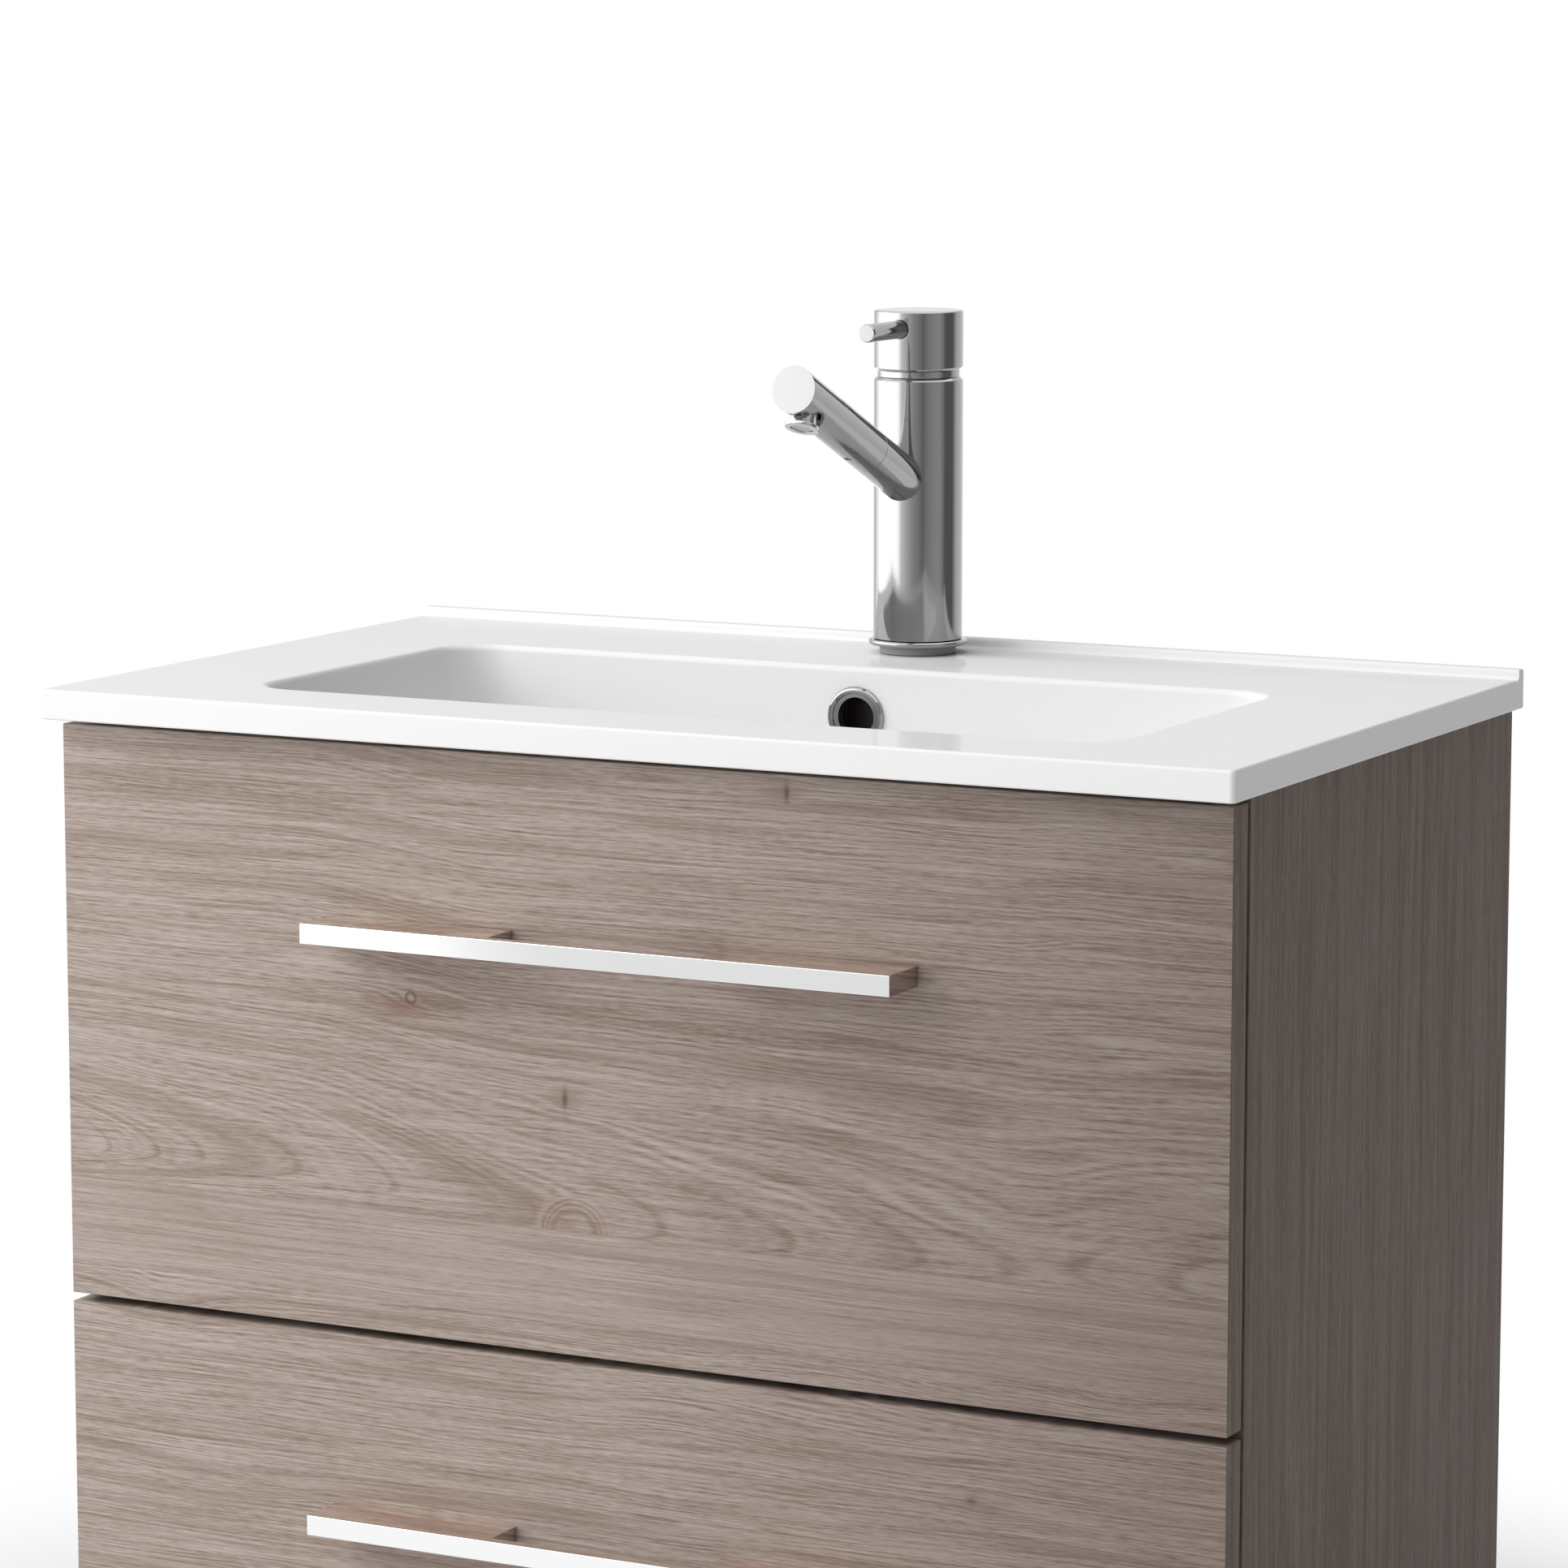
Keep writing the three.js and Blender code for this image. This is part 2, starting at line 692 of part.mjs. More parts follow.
function basin() {
  const recess = block(
    -basinWidth / 2 + basinLip, basinWidth / 2 - basinLip, basinLip, basinDepth - basinLip,
    -overrun, basinEdge - basinSkin,
  );
  const boss = rod(outletBossRadius, bossUnderside, bowlFloor).translate(0, bowlCentre, 0);
  const body = join(cut(join(slab(), upstand()), recess), bowlShell(), boss, duct(ductWall));
  const flangeRecess = rod(flangeRecessRadius, bowlFloor - flangeRecessDepth, bowlFloor + overrun);
  const outlet = rod(outletHoleRadius, bossUnderside - overrun, bowlFloor);
  const overflow = rod(overflowHoleRadius, -overrun, ductWall + ductDepth / 2, pipeSegments);
  const tapHole = rod(tapHoleRadius, -overrun, basinEdge + overrun);
  return cut(
    body,
    bowlHollow(),
    flangeRecess.translate(0, bowlCentre, 0),
    outlet.translate(0, bowlCentre, 0),
    duct(0),
    overflow.rotateX(-Math.PI / 2).translate(0, bowlBack, overflowZ),
    tapHole.translate(0, tapAxis, 0),
  );
}

function overflowRing() {
  const tubeRadius = overflowHoleRadius - seat;
  const lip = overflowRingLip / 2;
  const profile = [
    [overflowBoreRadius, -overflowTubeLength], [overflowBoreRadius, overflowRingProud - overflowRingLip],
    [overflowRingRadius - overflowRingLip, overflowRingProud], [overflowRingRadius, overflowRingProud - lip],
    [overflowRingRadius, seat], [tubeRadius, seat], [tubeRadius, -overflowTubeLength],
    [overflowBoreRadius, -overflowTubeLength],
  ];
  const made = turned(profile.reverse(), pipeSegments);
  return made.rotateX(Math.PI / 2).translate(0, bowlBack, overflowZ);
}

function addBasin(parent) {
  piece("basin", basin(), ceramic, parent);
  piece("overflow_ring", overflowRing(), chrome, parent);
}

// Waste: a flanged tube with overflow slots and a ledge for the plug's guide
function wasteBody() {
  const top = bowlFloor;
  const under = top - wasteFlangeThickness;
  const lowBore = wasteBoreRadius - guideLedge;
  const ledge = guideFoot - seat;
  const profile = [
    [lowBore, wasteEnd], [wasteTubeRadius, wasteEnd], [wasteTubeRadius, under],
    [wasteFlangeRadius, under], [wasteFlangeRadius, top], [wasteSeatRadius, top],
    [wasteBoreRadius, under - wasteFlangeThickness], [wasteBoreRadius, ledge], [lowBore, ledge],
    [lowBore, wasteEnd],
  ];
  const slotTop = bowlFloor - ductWall;
  const slotHalf = wasteSlotWidth / 2;
  const reach = wasteTubeRadius + overrun;
  const slotX = block(-reach, reach, -slotHalf, slotHalf, slotTop - ductDepth, slotTop);
  const slotY = block(-slotHalf, slotHalf, -reach, reach, slotTop - ductDepth, slotTop);
  return cut(turned(profile), slotX, slotY);
}

// The guide: a ring with four arms and a boss for the plug's stem
function wasteGuide() {
  const outer = wasteBoreRadius - seat;
  const arm = outer - guideRing / 2;
  const rim = ring(outer - guideRing, outer, guideFoot, guideTop);
  const armX = block(-arm, arm, -guideArm / 2, guideArm / 2, guideFoot, guideTop);
  const armY = block(-guideArm / 2, guideArm / 2, -arm, arm, guideFoot, guideTop);
  const boss = rod(guideBossRadius, guideFoot, guideTop, smallSegments);
  const hole = rod(plugStemRadius + seat, guideFoot - overrun, guideTop + overrun, smallSegments);
  return cut(join(rim, armX, armY, boss), hole);
}

// The plug covers the flange; its stem slides in the guide
function drainPlug() {
  const top = plugSeat + plugEdge + plugCrown;
  const profile = [
    [0, plugSeat - plugStemLength], [plugStemRadius, plugSeat - plugStemLength],
    [plugStemRadius, plugSeat - plugSkirt], [plugSkirtRadius, plugSeat - plugSkirt],
    [plugSkirtRadius, plugSeat], [plugRadius, plugSeat], [plugRadius, plugSeat + plugEdge],
  ];
  const steps = 4;
  for (let i = 1; i <= steps; i += 1) {
    const share = 1 - i / steps;
    profile.push([plugRadius * share, top - plugCrown * share * share]);
  }
  return turned(profile);
}

// A thin pipe with a collar at its start, where a slip nut grips it
function collaredPipe(length, collarRadius) {
  const inner = trapPipeRadius - trapPipeWall;
  const profile = [
    [inner, 0], [collarRadius, 0], [collarRadius, trapPipeCollar],
    [trapPipeRadius, trapPipeCollar], [trapPipeRadius, length], [inner, length], [inner, 0],
  ];
  return turned(profile, pipeSegments);
}

function trapBody() {
  const inner = trapRadius - trapWall;
  const bore = trapPipeRadius + threadPlay;
  const outside = turned([
    [0, trapSplit], [trapRadius, trapSplit], [trapRadius, trapShoulder],
    [trapNeckRadius, trapShoulder + trapWall], [trapNeckRadius, trapTop], [0, trapTop],
  ], pipeSegments);
  const chamber = rod(inner, trapSplit - overrun, trapShoulder - trapWall, pipeSegments);
  const neck = rod(bore, trapShoulder - trapWall - overrun, trapTop + overrun, pipeSegments);
  const branch = rod(trapBranchRadius, 0, trapBranchReach, pipeSegments);
  const branchBore = rod(
    trapPipeRadius - trapPipeWall, 0, trapBranchReach + overrun, pipeSegments,
  );
  return cut(
    join(outside, branch.rotateX(-Math.PI / 2).translate(0, 0, branchZ)),
    chamber,
    neck,
    branchBore.rotateX(-Math.PI / 2).translate(0, 0, branchZ),
  );
}

// The cup screws up into the trap's body and comes off for cleaning
function trapCup() {
  const inner = trapRadius - trapWall;
  const spigot = inner - threadPlay;
  const rim = trapSplit - seat;
  const outline = [[0, trapBottom]];
  const steps = 4;
  for (let i = 0; i <= steps; i += 1) {
    const turn = i / steps * Math.PI / 2;
    const r = trapRadius - trapCupRound * (1 - Math.sin(turn));
    outline.push([r, trapBottom + trapCupRound * (1 - Math.cos(turn))]);
  }
  outline.push(
    [trapRadius, rim], [spigot, rim], [spigot, rim + trapSpigot],
    [spigot - trapWall, rim + trapSpigot], [spigot - trapWall, trapBottom + trapCupRound],
    [trapRadius - trapCupRound, trapBottom + trapWall], [0, trapBottom + trapWall],
  );
  return turned(outline, pipeSegments);
}

function wallFlange() {
  const bore = trapPipeRadius + threadPlay;
  const waist = bore + trapWall;
  const profile = [
    [bore, 0], [waist, 0], [wallFlangeRadius, wallFlangeDepth - trapWall],
    [wallFlangeRadius, wallFlangeDepth], [bore, wallFlangeDepth], [bore, 0],
  ];
  return turned(profile, pipeSegments).rotateX(-Math.PI / 2);
}

function addWaste(parent) {
  const column = new THREE.Group();
  column.position.y = bowlCentre;
  parent.add(column);
  piece("waste_body", wasteBody(), chrome, column);
  piece("waste_guide", wasteGuide(), brass, column);
  piece("drain_plug", drainPlug(), chrome, column);
  const sealTop = bossUnderside - seat;
  const bore = wasteTubeRadius + threadPlay;
  piece("waste_seal", ring(bore, sealRadius, sealTop - sealThickness, sealTop), rubber, column);
  const nutTop = sealTop - sealThickness - seat;
  const nut = cut(
    rod(wasteNutRadius, nutTop - wasteNutHeight, nutTop, nutSides),
    rod(bore, nutTop - wasteNutHeight - overrun, nutTop + overrun),
  );
  piece("waste_nut", nut, brass, column);
  const pipeTop = wasteEnd - seat;
  const topCollar = wasteTubeRadius - threadPlay;
  const dip = collaredPipe(dipLength, topCollar).rotateX(Math.PI).translate(0, 0, pipeTop);
  piece("trap_inlet_pipe", dip, chrome, column);
  const nutFoot = pipeTop - trapPipeCollar - seat - slipNutShoulder;
  const inletNut = slipNut(trapPipeRadius, wasteTubeRadius).translate(0, 0, nutFoot);
  piece("trap_inlet_nut", inletNut, chrome, column);
  piece("trap_body", trapBody(), chrome, column);
  piece("trap_cup", trapCup(), chrome, column);
  const branchEnd = trapBranchReach + seat;
  const pipeRun = wallFace - bowlCentre - branchEnd;
  const outlet = collaredPipe(pipeRun, trapBranchRadius - threadPlay);
  outlet.rotateX(-Math.PI / 2).translate(0, branchEnd, branchZ);
  piece("trap_outlet_pipe", outlet, chrome, column);
  const outletNut = slipNut(trapPipeRadius, trapBranchRadius).rotateX(Math.PI / 2);
  outletNut.translate(0, branchEnd + trapPipeCollar + seat + slipNutShoulder, branchZ);
  piece("trap_outlet_nut", outletNut, chrome, column);
  const flange = wallFlange().translate(0, wallFace - bowlCentre - wallFlangeDepth, branchZ);
  piece("wall_flange", flange, chrome, column);
}

// A slip nut: a shoulder that passes the pipe, then a thread round what it screws on
function slipNut(pipeRadius, threadRadius) {
  const profile = [
    [pipeRadius + threadPlay, 0], [slipNutRadius, 0], [slipNutRadius, slipNutHeight],
    [threadRadius + threadPlay, slipNutHeight], [threadRadius + threadPlay, slipNutShoulder],
    [pipeRadius + threadPlay, slipNutShoulder], [pipeRadius + threadPlay, 0],
  ];
  return turned(profile, pipeSegments);
}

// Mixer, with Z measured from the deck
function baseRing() {
  const top = ringFoot + baseRingHeight;
  const bore = spigotRadius + seat;
  return turned([
    [bore, ringFoot], [baseRingRadius, ringFoot], [baseRingRadius, top - baseRingRound],
    [baseRingRadius - baseRingRound, top], [bore, top], [bore, ringFoot],
  ]);
}

// Turns and moves a piece from the spout's own axis to the column's
function toSpout(geometry) {
  return geometry.rotateX(spoutTurn).translate(0, 0, spoutRise);
}

function mixerBody() {
  const column = turned([
    [0, -spigotLength], [spigotRadius, -spigotLength], [spigotRadius, mixerFoot],
    [mixerRadius, mixerFoot], [mixerRadius, mixerTop - mixerTopChamfer],
    [mixerRadius - mixerTopChamfer, mixerTop], [0, mixerTop],
  ], columnSegments);
  const stub = toSpout(rod(spoutRadius, 0, spoutSeam));
  const spigot = toSpout(rod(spoutSpigotRadius, 0, spoutSeam + spoutSpigotLength));
  const boreFoot = mixerTop - cartridgeBoreDepth;
  const bore = rod(cartridgeBoreRadius, boreFoot, mixerTop + overrun);
  const riser = rod(waterwayRadius, spoutRise, boreFoot + overrun, smallSegments);
  const channel = toSpout(
    rod(waterwayRadius, 0, spoutSeam + spoutSpigotLength + overrun, smallSegments),
  );
  const low = -spigotLength - overrun;
  const inlets = sides.flatMap(([, sign]) => {
    const x = sign * inletSpacing / 2;
    const socket = rod(inletRadius, low, inletDepth, smallSegments);
    const feed = rod(inletFeedRadius, inletDepth - overrun, boreFoot + overrun, smallSegments);
    return [socket.translate(x, inletSetback, 0), feed.translate(x, inletSetback, 0)];
  });
  const studHole = rod(studRadius + studPlay, low, studEntry, smallSegments);
  studHole.translate(0, -studSetforward, 0);
  return cut(join(column, stub, spigot), bore, riser, channel, ...inlets, studHole);
}

function addFixings(parent) {
  const underDeck = -basinSkin - seat;
  const studTop = studEntry - seat;
  const stud = rod(studRadius, studTop - studLength, studTop, smallSegments);
  piece("fixing_stud", stud.translate(0, -studSetforward, 0), steel, parent);
  const plate = rod(washerRadius, underDeck - washerThickness, underDeck);
  const slot = block(
    -washerSlotWidth / 2, washerSlotWidth / 2, inletSetback - inletRadius - seat, washerRadius + overrun,
    underDeck - washerThickness - overrun, underDeck + overrun,
  );
  const hole = rod(
    studRadius + studPlay, underDeck - washerThickness - overrun, underDeck + overrun, smallSegments,
  );
  hole.translate(0, -studSetforward, 0);
  piece("fixing_washer", cut(plate, slot, hole), steel, parent);
  const nutTop = underDeck - washerThickness - seat;
  const nut = cut(
    hexagon(fixingNutAcross, nutTop - fixingNutHeight, nutTop),
    rod(studRadius + studPlay, nutTop - fixingNutHeight - overrun, nutTop + overrun, smallSegments),
  );
  piece("fixing_nut", nut.translate(0, -studSetforward, 0), brass, parent);
}

function spoutTube() {
  const foot = spoutSeam + turnedSeat;
  const tube = rod(spoutRadius, foot, spoutLength + spoutRadius);
  const endTool = block(
    -spoutLength, spoutLength, -spoutLength, spoutLength, 0, spoutLength,
  );
  endTool.rotateX(THREE.MathUtils.degToRad(spoutEndLean)).translate(0, 0, spoutLength);
  const socketEnd = spoutSeam + spoutSpigotLength + turnedSeat;
  const socket = rod(spoutSpigotRadius + spoutPlay, foot - overrun, socketEnd);
  const channel = rod(waterwayRadius, socketEnd - overrun, spoutChannelEnd, smallSegments);
  const aeratorBore = rod(aeratorNeckRadius + spoutPlay, 0, spoutRadius + overrun, smallSegments);
  const recess = rod(aeratorRecessRadius, aeratorSeatDrop, spoutRadius + overrun, pipeSegments);
  const screwHole = rod(setScrewRadius + spoutPlay, 0, spoutRadius + overrun, smallSegments);
  return cut(
    tube,
    endTool,
    socket,
    channel,
    towardsFloor(aeratorBore, aeratorReach),
    towardsFloor(recess, aeratorReach),
    towardsFloor(screwHole, setScrewReach),
  );
}

// Turns a piece made along Z to point down from the spout's axis
function towardsFloor(geometry, reach) {
  return geometry.rotateX(Math.PI / 2).translate(0, 0, reach);
}

function aeratorHousing() {
  const flangeTop = aeratorDrop - aeratorFlangeThickness;
  const coreTop = aeratorDrop - aeratorFaceInset - aeratorCoreDepth - turnedSeat;
  const ledge = aeratorBoreRadius - turnedSeat - aeratorFaceInset;
  const profile = [
    [ledge, turnedSeat], [aeratorNeckRadius, turnedSeat], [aeratorNeckRadius, flangeTop],
    [aeratorFlangeRadius, flangeTop], [aeratorFlangeRadius, aeratorDrop],
    [aeratorBoreRadius, aeratorDrop], [aeratorBoreRadius, coreTop], [ledge, coreTop],
    [ledge, turnedSeat],
  ];
  return towardsFloor(turned(profile, pipeSegments), aeratorReach);
}

// The aerator's core: a disc with a grid of square jets
function aeratorCore() {
  const radius = aeratorBoreRadius - turnedSeat;
  const face = aeratorDrop - aeratorFaceInset;
  const disc = rod(radius, face - aeratorCoreDepth, face, pipeSegments);
  const pitch = 2 * radius / (aeratorCells + 1);
  const half = pitch * aeratorCellShare / 2;
  const low = face - aeratorCoreDepth - overrun;
  const jets = [];
  for (let i = 0; i < aeratorCells; i += 1) {
    for (let j = 0; j < aeratorCells; j += 1) {
      const x = (i - (aeratorCells - 1) / 2) * pitch;
      const y = (j - (aeratorCells - 1) / 2) * pitch;
      if (Math.hypot(Math.abs(x) + half, Math.abs(y) + half) > radius - turnedSeat) continue;
      jets.push(block(x - half, x + half, y - half, y + half, low, face + overrun));
    }
  }
  return towardsFloor(cut(disc, ...jets), aeratorReach);
}

function addSpout(parent) {
  const spout = new THREE.Group();
  spout.position.z = spoutRise;
  spout.rotation.x = spoutTurn;
  parent.add(spout);
  piece("spout", spoutTube(), chrome, spout);
  piece("aerator_housing", aeratorHousing(), chrome, spout);
  piece("aerator_core", aeratorCore(), plastic, spout);
  const screw = rod(setScrewRadius, spoutSpigotRadius + turnedSeat, spoutRadius - turnedSeat, smallSegments);
  piece("spout_set_screw", towardsFloor(screw, setScrewReach), steel, spout);
}

function neckDome() {
  const foot = mixerTop + seat - pivotZ;
  const profile = [[domeBore, foot], [Math.sqrt(domeRadius ** 2 - foot ** 2), foot]];
  const low = Math.asin(foot / domeRadius);
  const high = Math.asin(domeCrown / domeRadius);
  const steps = 5;
  for (let i = 1; i <= steps; i += 1) {
    const turn = low + (high - low) * i / steps;
    profile.push([domeRadius * Math.cos(turn), domeRadius * Math.sin(turn)]);
  }
  profile.push([domeBore, domeCrown], [domeBore, foot]);
  return turned(profile).translate(0, 0, pivotZ);
}

// A ball about the pivot
function ball(radius) {
  return new THREE.SphereGeometry(radius, smallSegments, smallSegments / 2).rotateX(Math.PI / 2);
}

function addCartridge(parent) {
  const top = mixerTop - seat - cartridgeNutHeight - seat;
  const outer = cartridgeBoreRadius - cartridgePlay;
  const pocket = carrierRadius + cartridgePlay;
  const carrierTop = pivotZ - carrierDrop;
  const carrierFoot = carrierTop - carrierHeight;
  const cartridge = cut(
    rod(outer, top - cartridgeLength, top),
    rod(pocket, carrierFoot - seat, top + overrun, pipeSegments),
  );
  piece("mixing_cartridge", cartridge, plastic, parent);
  const nut = ring(
    cartridgeNutBore, outer, top + seat, top + seat + cartridgeNutHeight, pipeSegments,
  );
  piece("cartridge_nut", nut, brass, parent);
  piece("neck_dome", neckDome(), chrome, parent);
  const carrier = cut(
    rod(carrierRadius, carrierFoot, carrierTop, pipeSegments),
    ball(ballRadius + seat).translate(0, 0, pivotZ),
  );
  piece("spindle_carrier", carrier, brass, parent);
}

// The cap's lower edge slopes, so its rings follow a tilted plane
function capRing(radius, rise) {
  const slope = Math.tan(THREE.MathUtils.degToRad(capLipSlope));
  const points = [];
  const count = columnSegments;
  for (let i = 0; i < count; i += 1) {
    const turn = i / count * 2 * Math.PI;
    const y = radius * Math.sin(turn);
    const z = capLip + slope * y + rise;
    points.push(new THREE.Vector3(radius * Math.cos(turn), y, z));
  }
  return points;
}

function flatRing(radius, z) {
  return capRing(radius, 0).map((point) => new THREE.Vector3(point.x, point.y, z));
}

function leverCap() {
  const outside = loft([
    capRing(mixerRadius - capChamfer, 0),
    capRing(mixerRadius, capChamfer),
    flatRing(mixerRadius, capTop - capTopRound),
    flatRing(mixerRadius - capTopRound, capTop),
  ]);
  const bore = rod(capBoreRadius, -domeRadius, capCeiling, columnSegments);
  const boss = rod(capBossRadius, capBossFoot, capCeiling + overrun, smallSegments);
  const socket = rod(spindleRadius + seat, 0, spindleTop + seat, smallSegments);
  const pinHole = rod(pinRadius + turnedSeat, pinRoot - seat, mixerRadius + overrun, pipeSegments);
  pinHole.rotateX(Math.PI / 2).translate(0, 0, pinRise);
  return cut(join(cut(outside, bore), boss), socket, pinHole);
}

function leverPin() {
  const profile = [
    [0, pinRoot], [pinRadius, pinRoot], [pinRadius, pinReach - pinEndRound],
    [pinRadius - pinEndRound, pinReach], [0, pinReach],
  ];
  return turned(profile, pipeSegments).rotateX(Math.PI / 2).translate(0, 0, pinRise);
}

function addLever(parent) {
  const lever = new THREE.Group();
  lever.position.z = pivotZ;
  parent.add(lever);
  piece("lever_cap", leverCap(), chrome, lever);
  piece("lever_pin", leverPin(), chrome, lever);
  const spindle = join(ball(ballRadius), rod(spindleRadius, 0, spindleTop, smallSegments));
  piece("spindle", spindle, steel, lever);
}

function addMixer(parent) {
  const mixer = new THREE.Group();
  mixer.position.set(0, tapAxis, basinEdge);
  parent.add(mixer);
  const bore = spigotRadius + seat;
  const gasket = ring(bore, gasketRadius, gasketFoot, gasketFoot + gasketHeight);
  piece("mixer_gasket", gasket, rubber, mixer);
  piece("mixer_base_ring", baseRing(), chrome, mixer);
  piece("mixer_body", mixerBody(), chrome, mixer);
  addFixings(mixer);
  addSpout(mixer);
  addCartridge(mixer);
  addLever(mixer);
}

// Assembly
const root = new THREE.Group();
const washstand = new THREE.Group();
washstand.position.y = -middle;
root.add(washstand);
addCabinet(washstand);
addHangers(washstand);
addDrawers(washstand);
const onCabinet = new THREE.Group();
onCabinet.position.z = cabinetHeight;
washstand.add(onCabinet);
addBasin(onCabinet);
addWaste(onCabinet);
addMixer(onCabinet);

export default root;
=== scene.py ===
# The washstand's looks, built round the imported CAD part.
# Metres in Blender, millimetres in the tables below; +X right, +Y to the wall, +Z up.
import math

import bpy
import bmesh
from mathutils import Matrix, Vector


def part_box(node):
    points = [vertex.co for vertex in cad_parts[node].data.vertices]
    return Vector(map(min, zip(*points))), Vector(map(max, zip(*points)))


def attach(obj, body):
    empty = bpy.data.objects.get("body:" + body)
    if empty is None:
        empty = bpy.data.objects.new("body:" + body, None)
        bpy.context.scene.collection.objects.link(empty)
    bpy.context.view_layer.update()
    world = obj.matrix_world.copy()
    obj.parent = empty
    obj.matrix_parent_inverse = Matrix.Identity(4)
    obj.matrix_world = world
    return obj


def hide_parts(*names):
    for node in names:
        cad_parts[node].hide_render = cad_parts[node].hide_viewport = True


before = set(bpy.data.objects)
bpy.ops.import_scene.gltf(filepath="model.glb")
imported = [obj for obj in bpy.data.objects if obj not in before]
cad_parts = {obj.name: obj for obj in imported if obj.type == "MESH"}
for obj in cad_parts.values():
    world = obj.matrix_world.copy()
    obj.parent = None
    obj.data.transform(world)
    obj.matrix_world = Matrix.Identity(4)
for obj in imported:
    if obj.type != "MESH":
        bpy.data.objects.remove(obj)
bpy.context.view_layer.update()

MM = 0.001
COLLECTION = bpy.context.scene.collection
QUARTER = math.pi / 2
# Turns that lay an upright piece down, its top towards the front, the wall or the right
TO_FRONT = Matrix.Rotation(QUARTER, 4, "X")
TO_WALL = Matrix.Rotation(-QUARTER, 4, "X")
TO_RIGHT = Matrix.Rotation(QUARTER, 4, "Y")


# Camera, at the photograph's viewing angle
def add_camera():
    data = bpy.data.cameras.new("camera")
    data.sensor_width = 36
    data.lens = 127.52
    data.clip_start, data.clip_end = 0.05, 60
    camera = bpy.data.objects.new("camera", data)
    COLLECTION.objects.link(camera)
    camera.location = (1.19844, -2.32630, 0.90002)
    camera.rotation_euler = (math.radians(90 - 8.1104), 0, math.radians(27.2103))
    bpy.context.scene.camera = camera


# Node trees
class Graph:
    """A node tree that is written as expressions."""

    def __init__(self, tree):
        self.tree = tree

    def put(self, socket, value):
        if isinstance(value, bpy.types.NodeSocket):
            self.tree.links.new(value, socket)
        else:
            socket.default_value = value

    def node(self, kind, inputs, output=0, **settings):
        node = self.tree.nodes.new("ShaderNode" + kind)
        for key, value in settings.items():
            setattr(node, key, value)
        for key, value in inputs.items():
            self.put(node.inputs[key], value)
        return node.outputs[output]

    def math(self, operation, *values):
        return self.node("Math", dict(enumerate(values)), operation=operation)

    def chain(self, operation, values):
        total = values[0]
        for value in values[1:]:
            total = self.math(operation, total, value)
        return total

    def add(self, *values):
        return self.chain("ADD", values)

    def mul(self, *values):
        return self.chain("MULTIPLY", values)

    def sub(self, a, b):
        return self.math("SUBTRACT", a, b)

    def rest(self, share):
        return self.sub(1.0, share)

    def squares(self, a, b):
        return self.add(self.mul(a, a), self.mul(b, b))

    def gap(self, a, b):
        """How far two values are apart."""
        return self.math("ABSOLUTE", self.sub(a, b))

    def place(self):
        """The point on the piece, in the part's frame, at rest."""
        return self.node("TexCoord", {}, "Object")

    def split(self, vector):
        node = self.tree.nodes.new("ShaderNodeSeparateXYZ")
        self.put(node.inputs[0], vector)
        return node.outputs[0], node.outputs[1], node.outputs[2]

    def millimetres(self):
        return [self.mul(part, 1000) for part in self.split(self.place())]

    def merge(self, x, y, z):
        return self.node("CombineXYZ", {0: x, 1: y, 2: z})

    def stretch(self, vector, x, y, z):
        return self.node("VectorMath", {0: vector, 1: (x, y, z)}, operation="MULTIPLY")

    def noise(self, vector, scale, detail=2.0, rough=0.5):
        inputs = {"Vector": vector, "Scale": scale, "Detail": detail, "Roughness": rough}
        return self.node("TexNoise", inputs, "Fac")

    def cells(self, vector, scale):
        """A grey of its own for each cell."""
        return self.split(self.node("TexVoronoi", {"Vector": vector, "Scale": scale}, "Color"))[0]

    def span(self, value, low, high, to_low=0.0, to_high=1.0, kind="LINEAR"):
        inputs = {0: value, 1: low, 2: high, 3: to_low, 4: to_high}
        return self.node("MapRange", inputs, clamp=True, interpolation_type=kind)

    def smooth(self, *values):
        return self.span(*values, kind="SMOOTHSTEP")

    def near(self, x, z, place, half_x, half_z):
        """1 at a point, falling to 0 beyond the given distances."""
        a = self.mul(self.sub(x, place[0]), 1 / half_x)
        b = self.mul(self.sub(z, place[1]), 1 / half_z)
        return self.math("EXPONENT", self.mul(self.squares(a, b), -1.0))

    def mix(self, share, a, b, blend="MIX"):
        node = self.tree.nodes.new("ShaderNodeMix")
        node.data_type, node.blend_type = "RGBA", blend
        for socket, value in ((0, share), (6, a), (7, b)):
            self.put(node.inputs[socket], value)
        return node.outputs[2]

    def ramp(self, value, stops):
        node = self.tree.nodes.new("ShaderNodeValToRGB")
        while len(node.color_ramp.elements) < len(stops):
            node.color_ramp.elements.new(0.5)
        for element, (place, colour) in zip(node.color_ramp.elements, stops):
            element.position, element.color = place, colour
        self.put(node.inputs[0], value)
        return node.outputs[0]


class Surface(Graph):
    """A material with one shader. Constants go on the shader's own sockets."""

    def __init__(self, name, **constants):
        self.material = bpy.data.materials.new(name)
        self.material.use_nodes = True
        super().__init__(self.material.node_tree)
        self.shader = self.tree.nodes["Principled BSDF"]
        for socket, value in constants.items():
            self.shader.inputs[socket.replace("_", " ")].default_value = value

    def out(self, colour, rough, height, strength, distance):
        """Links the colour, the roughness and a relief. The relief's distance is in metres."""
        relief = {"Strength": strength, "Distance": distance, "Height": height}
        self.put(self.shader.inputs["Base Color"], colour)
        self.put(self.shader.inputs["Roughness"], rough)
        self.put(self.shader.inputs["Normal"], self.node("Bump", relief, "Normal"))
        return self.material


def srgb(red, green, blue):
    """A display colour, 0 to 255, as the linear colour that Blender wants."""
    def linear(part):
        part /= 255
        return part / 12.92 if part <= 0.04045 else ((part + 0.055) / 1.055) ** 2.4
    return (linear(red), linear(green), linear(blue), 1.0)


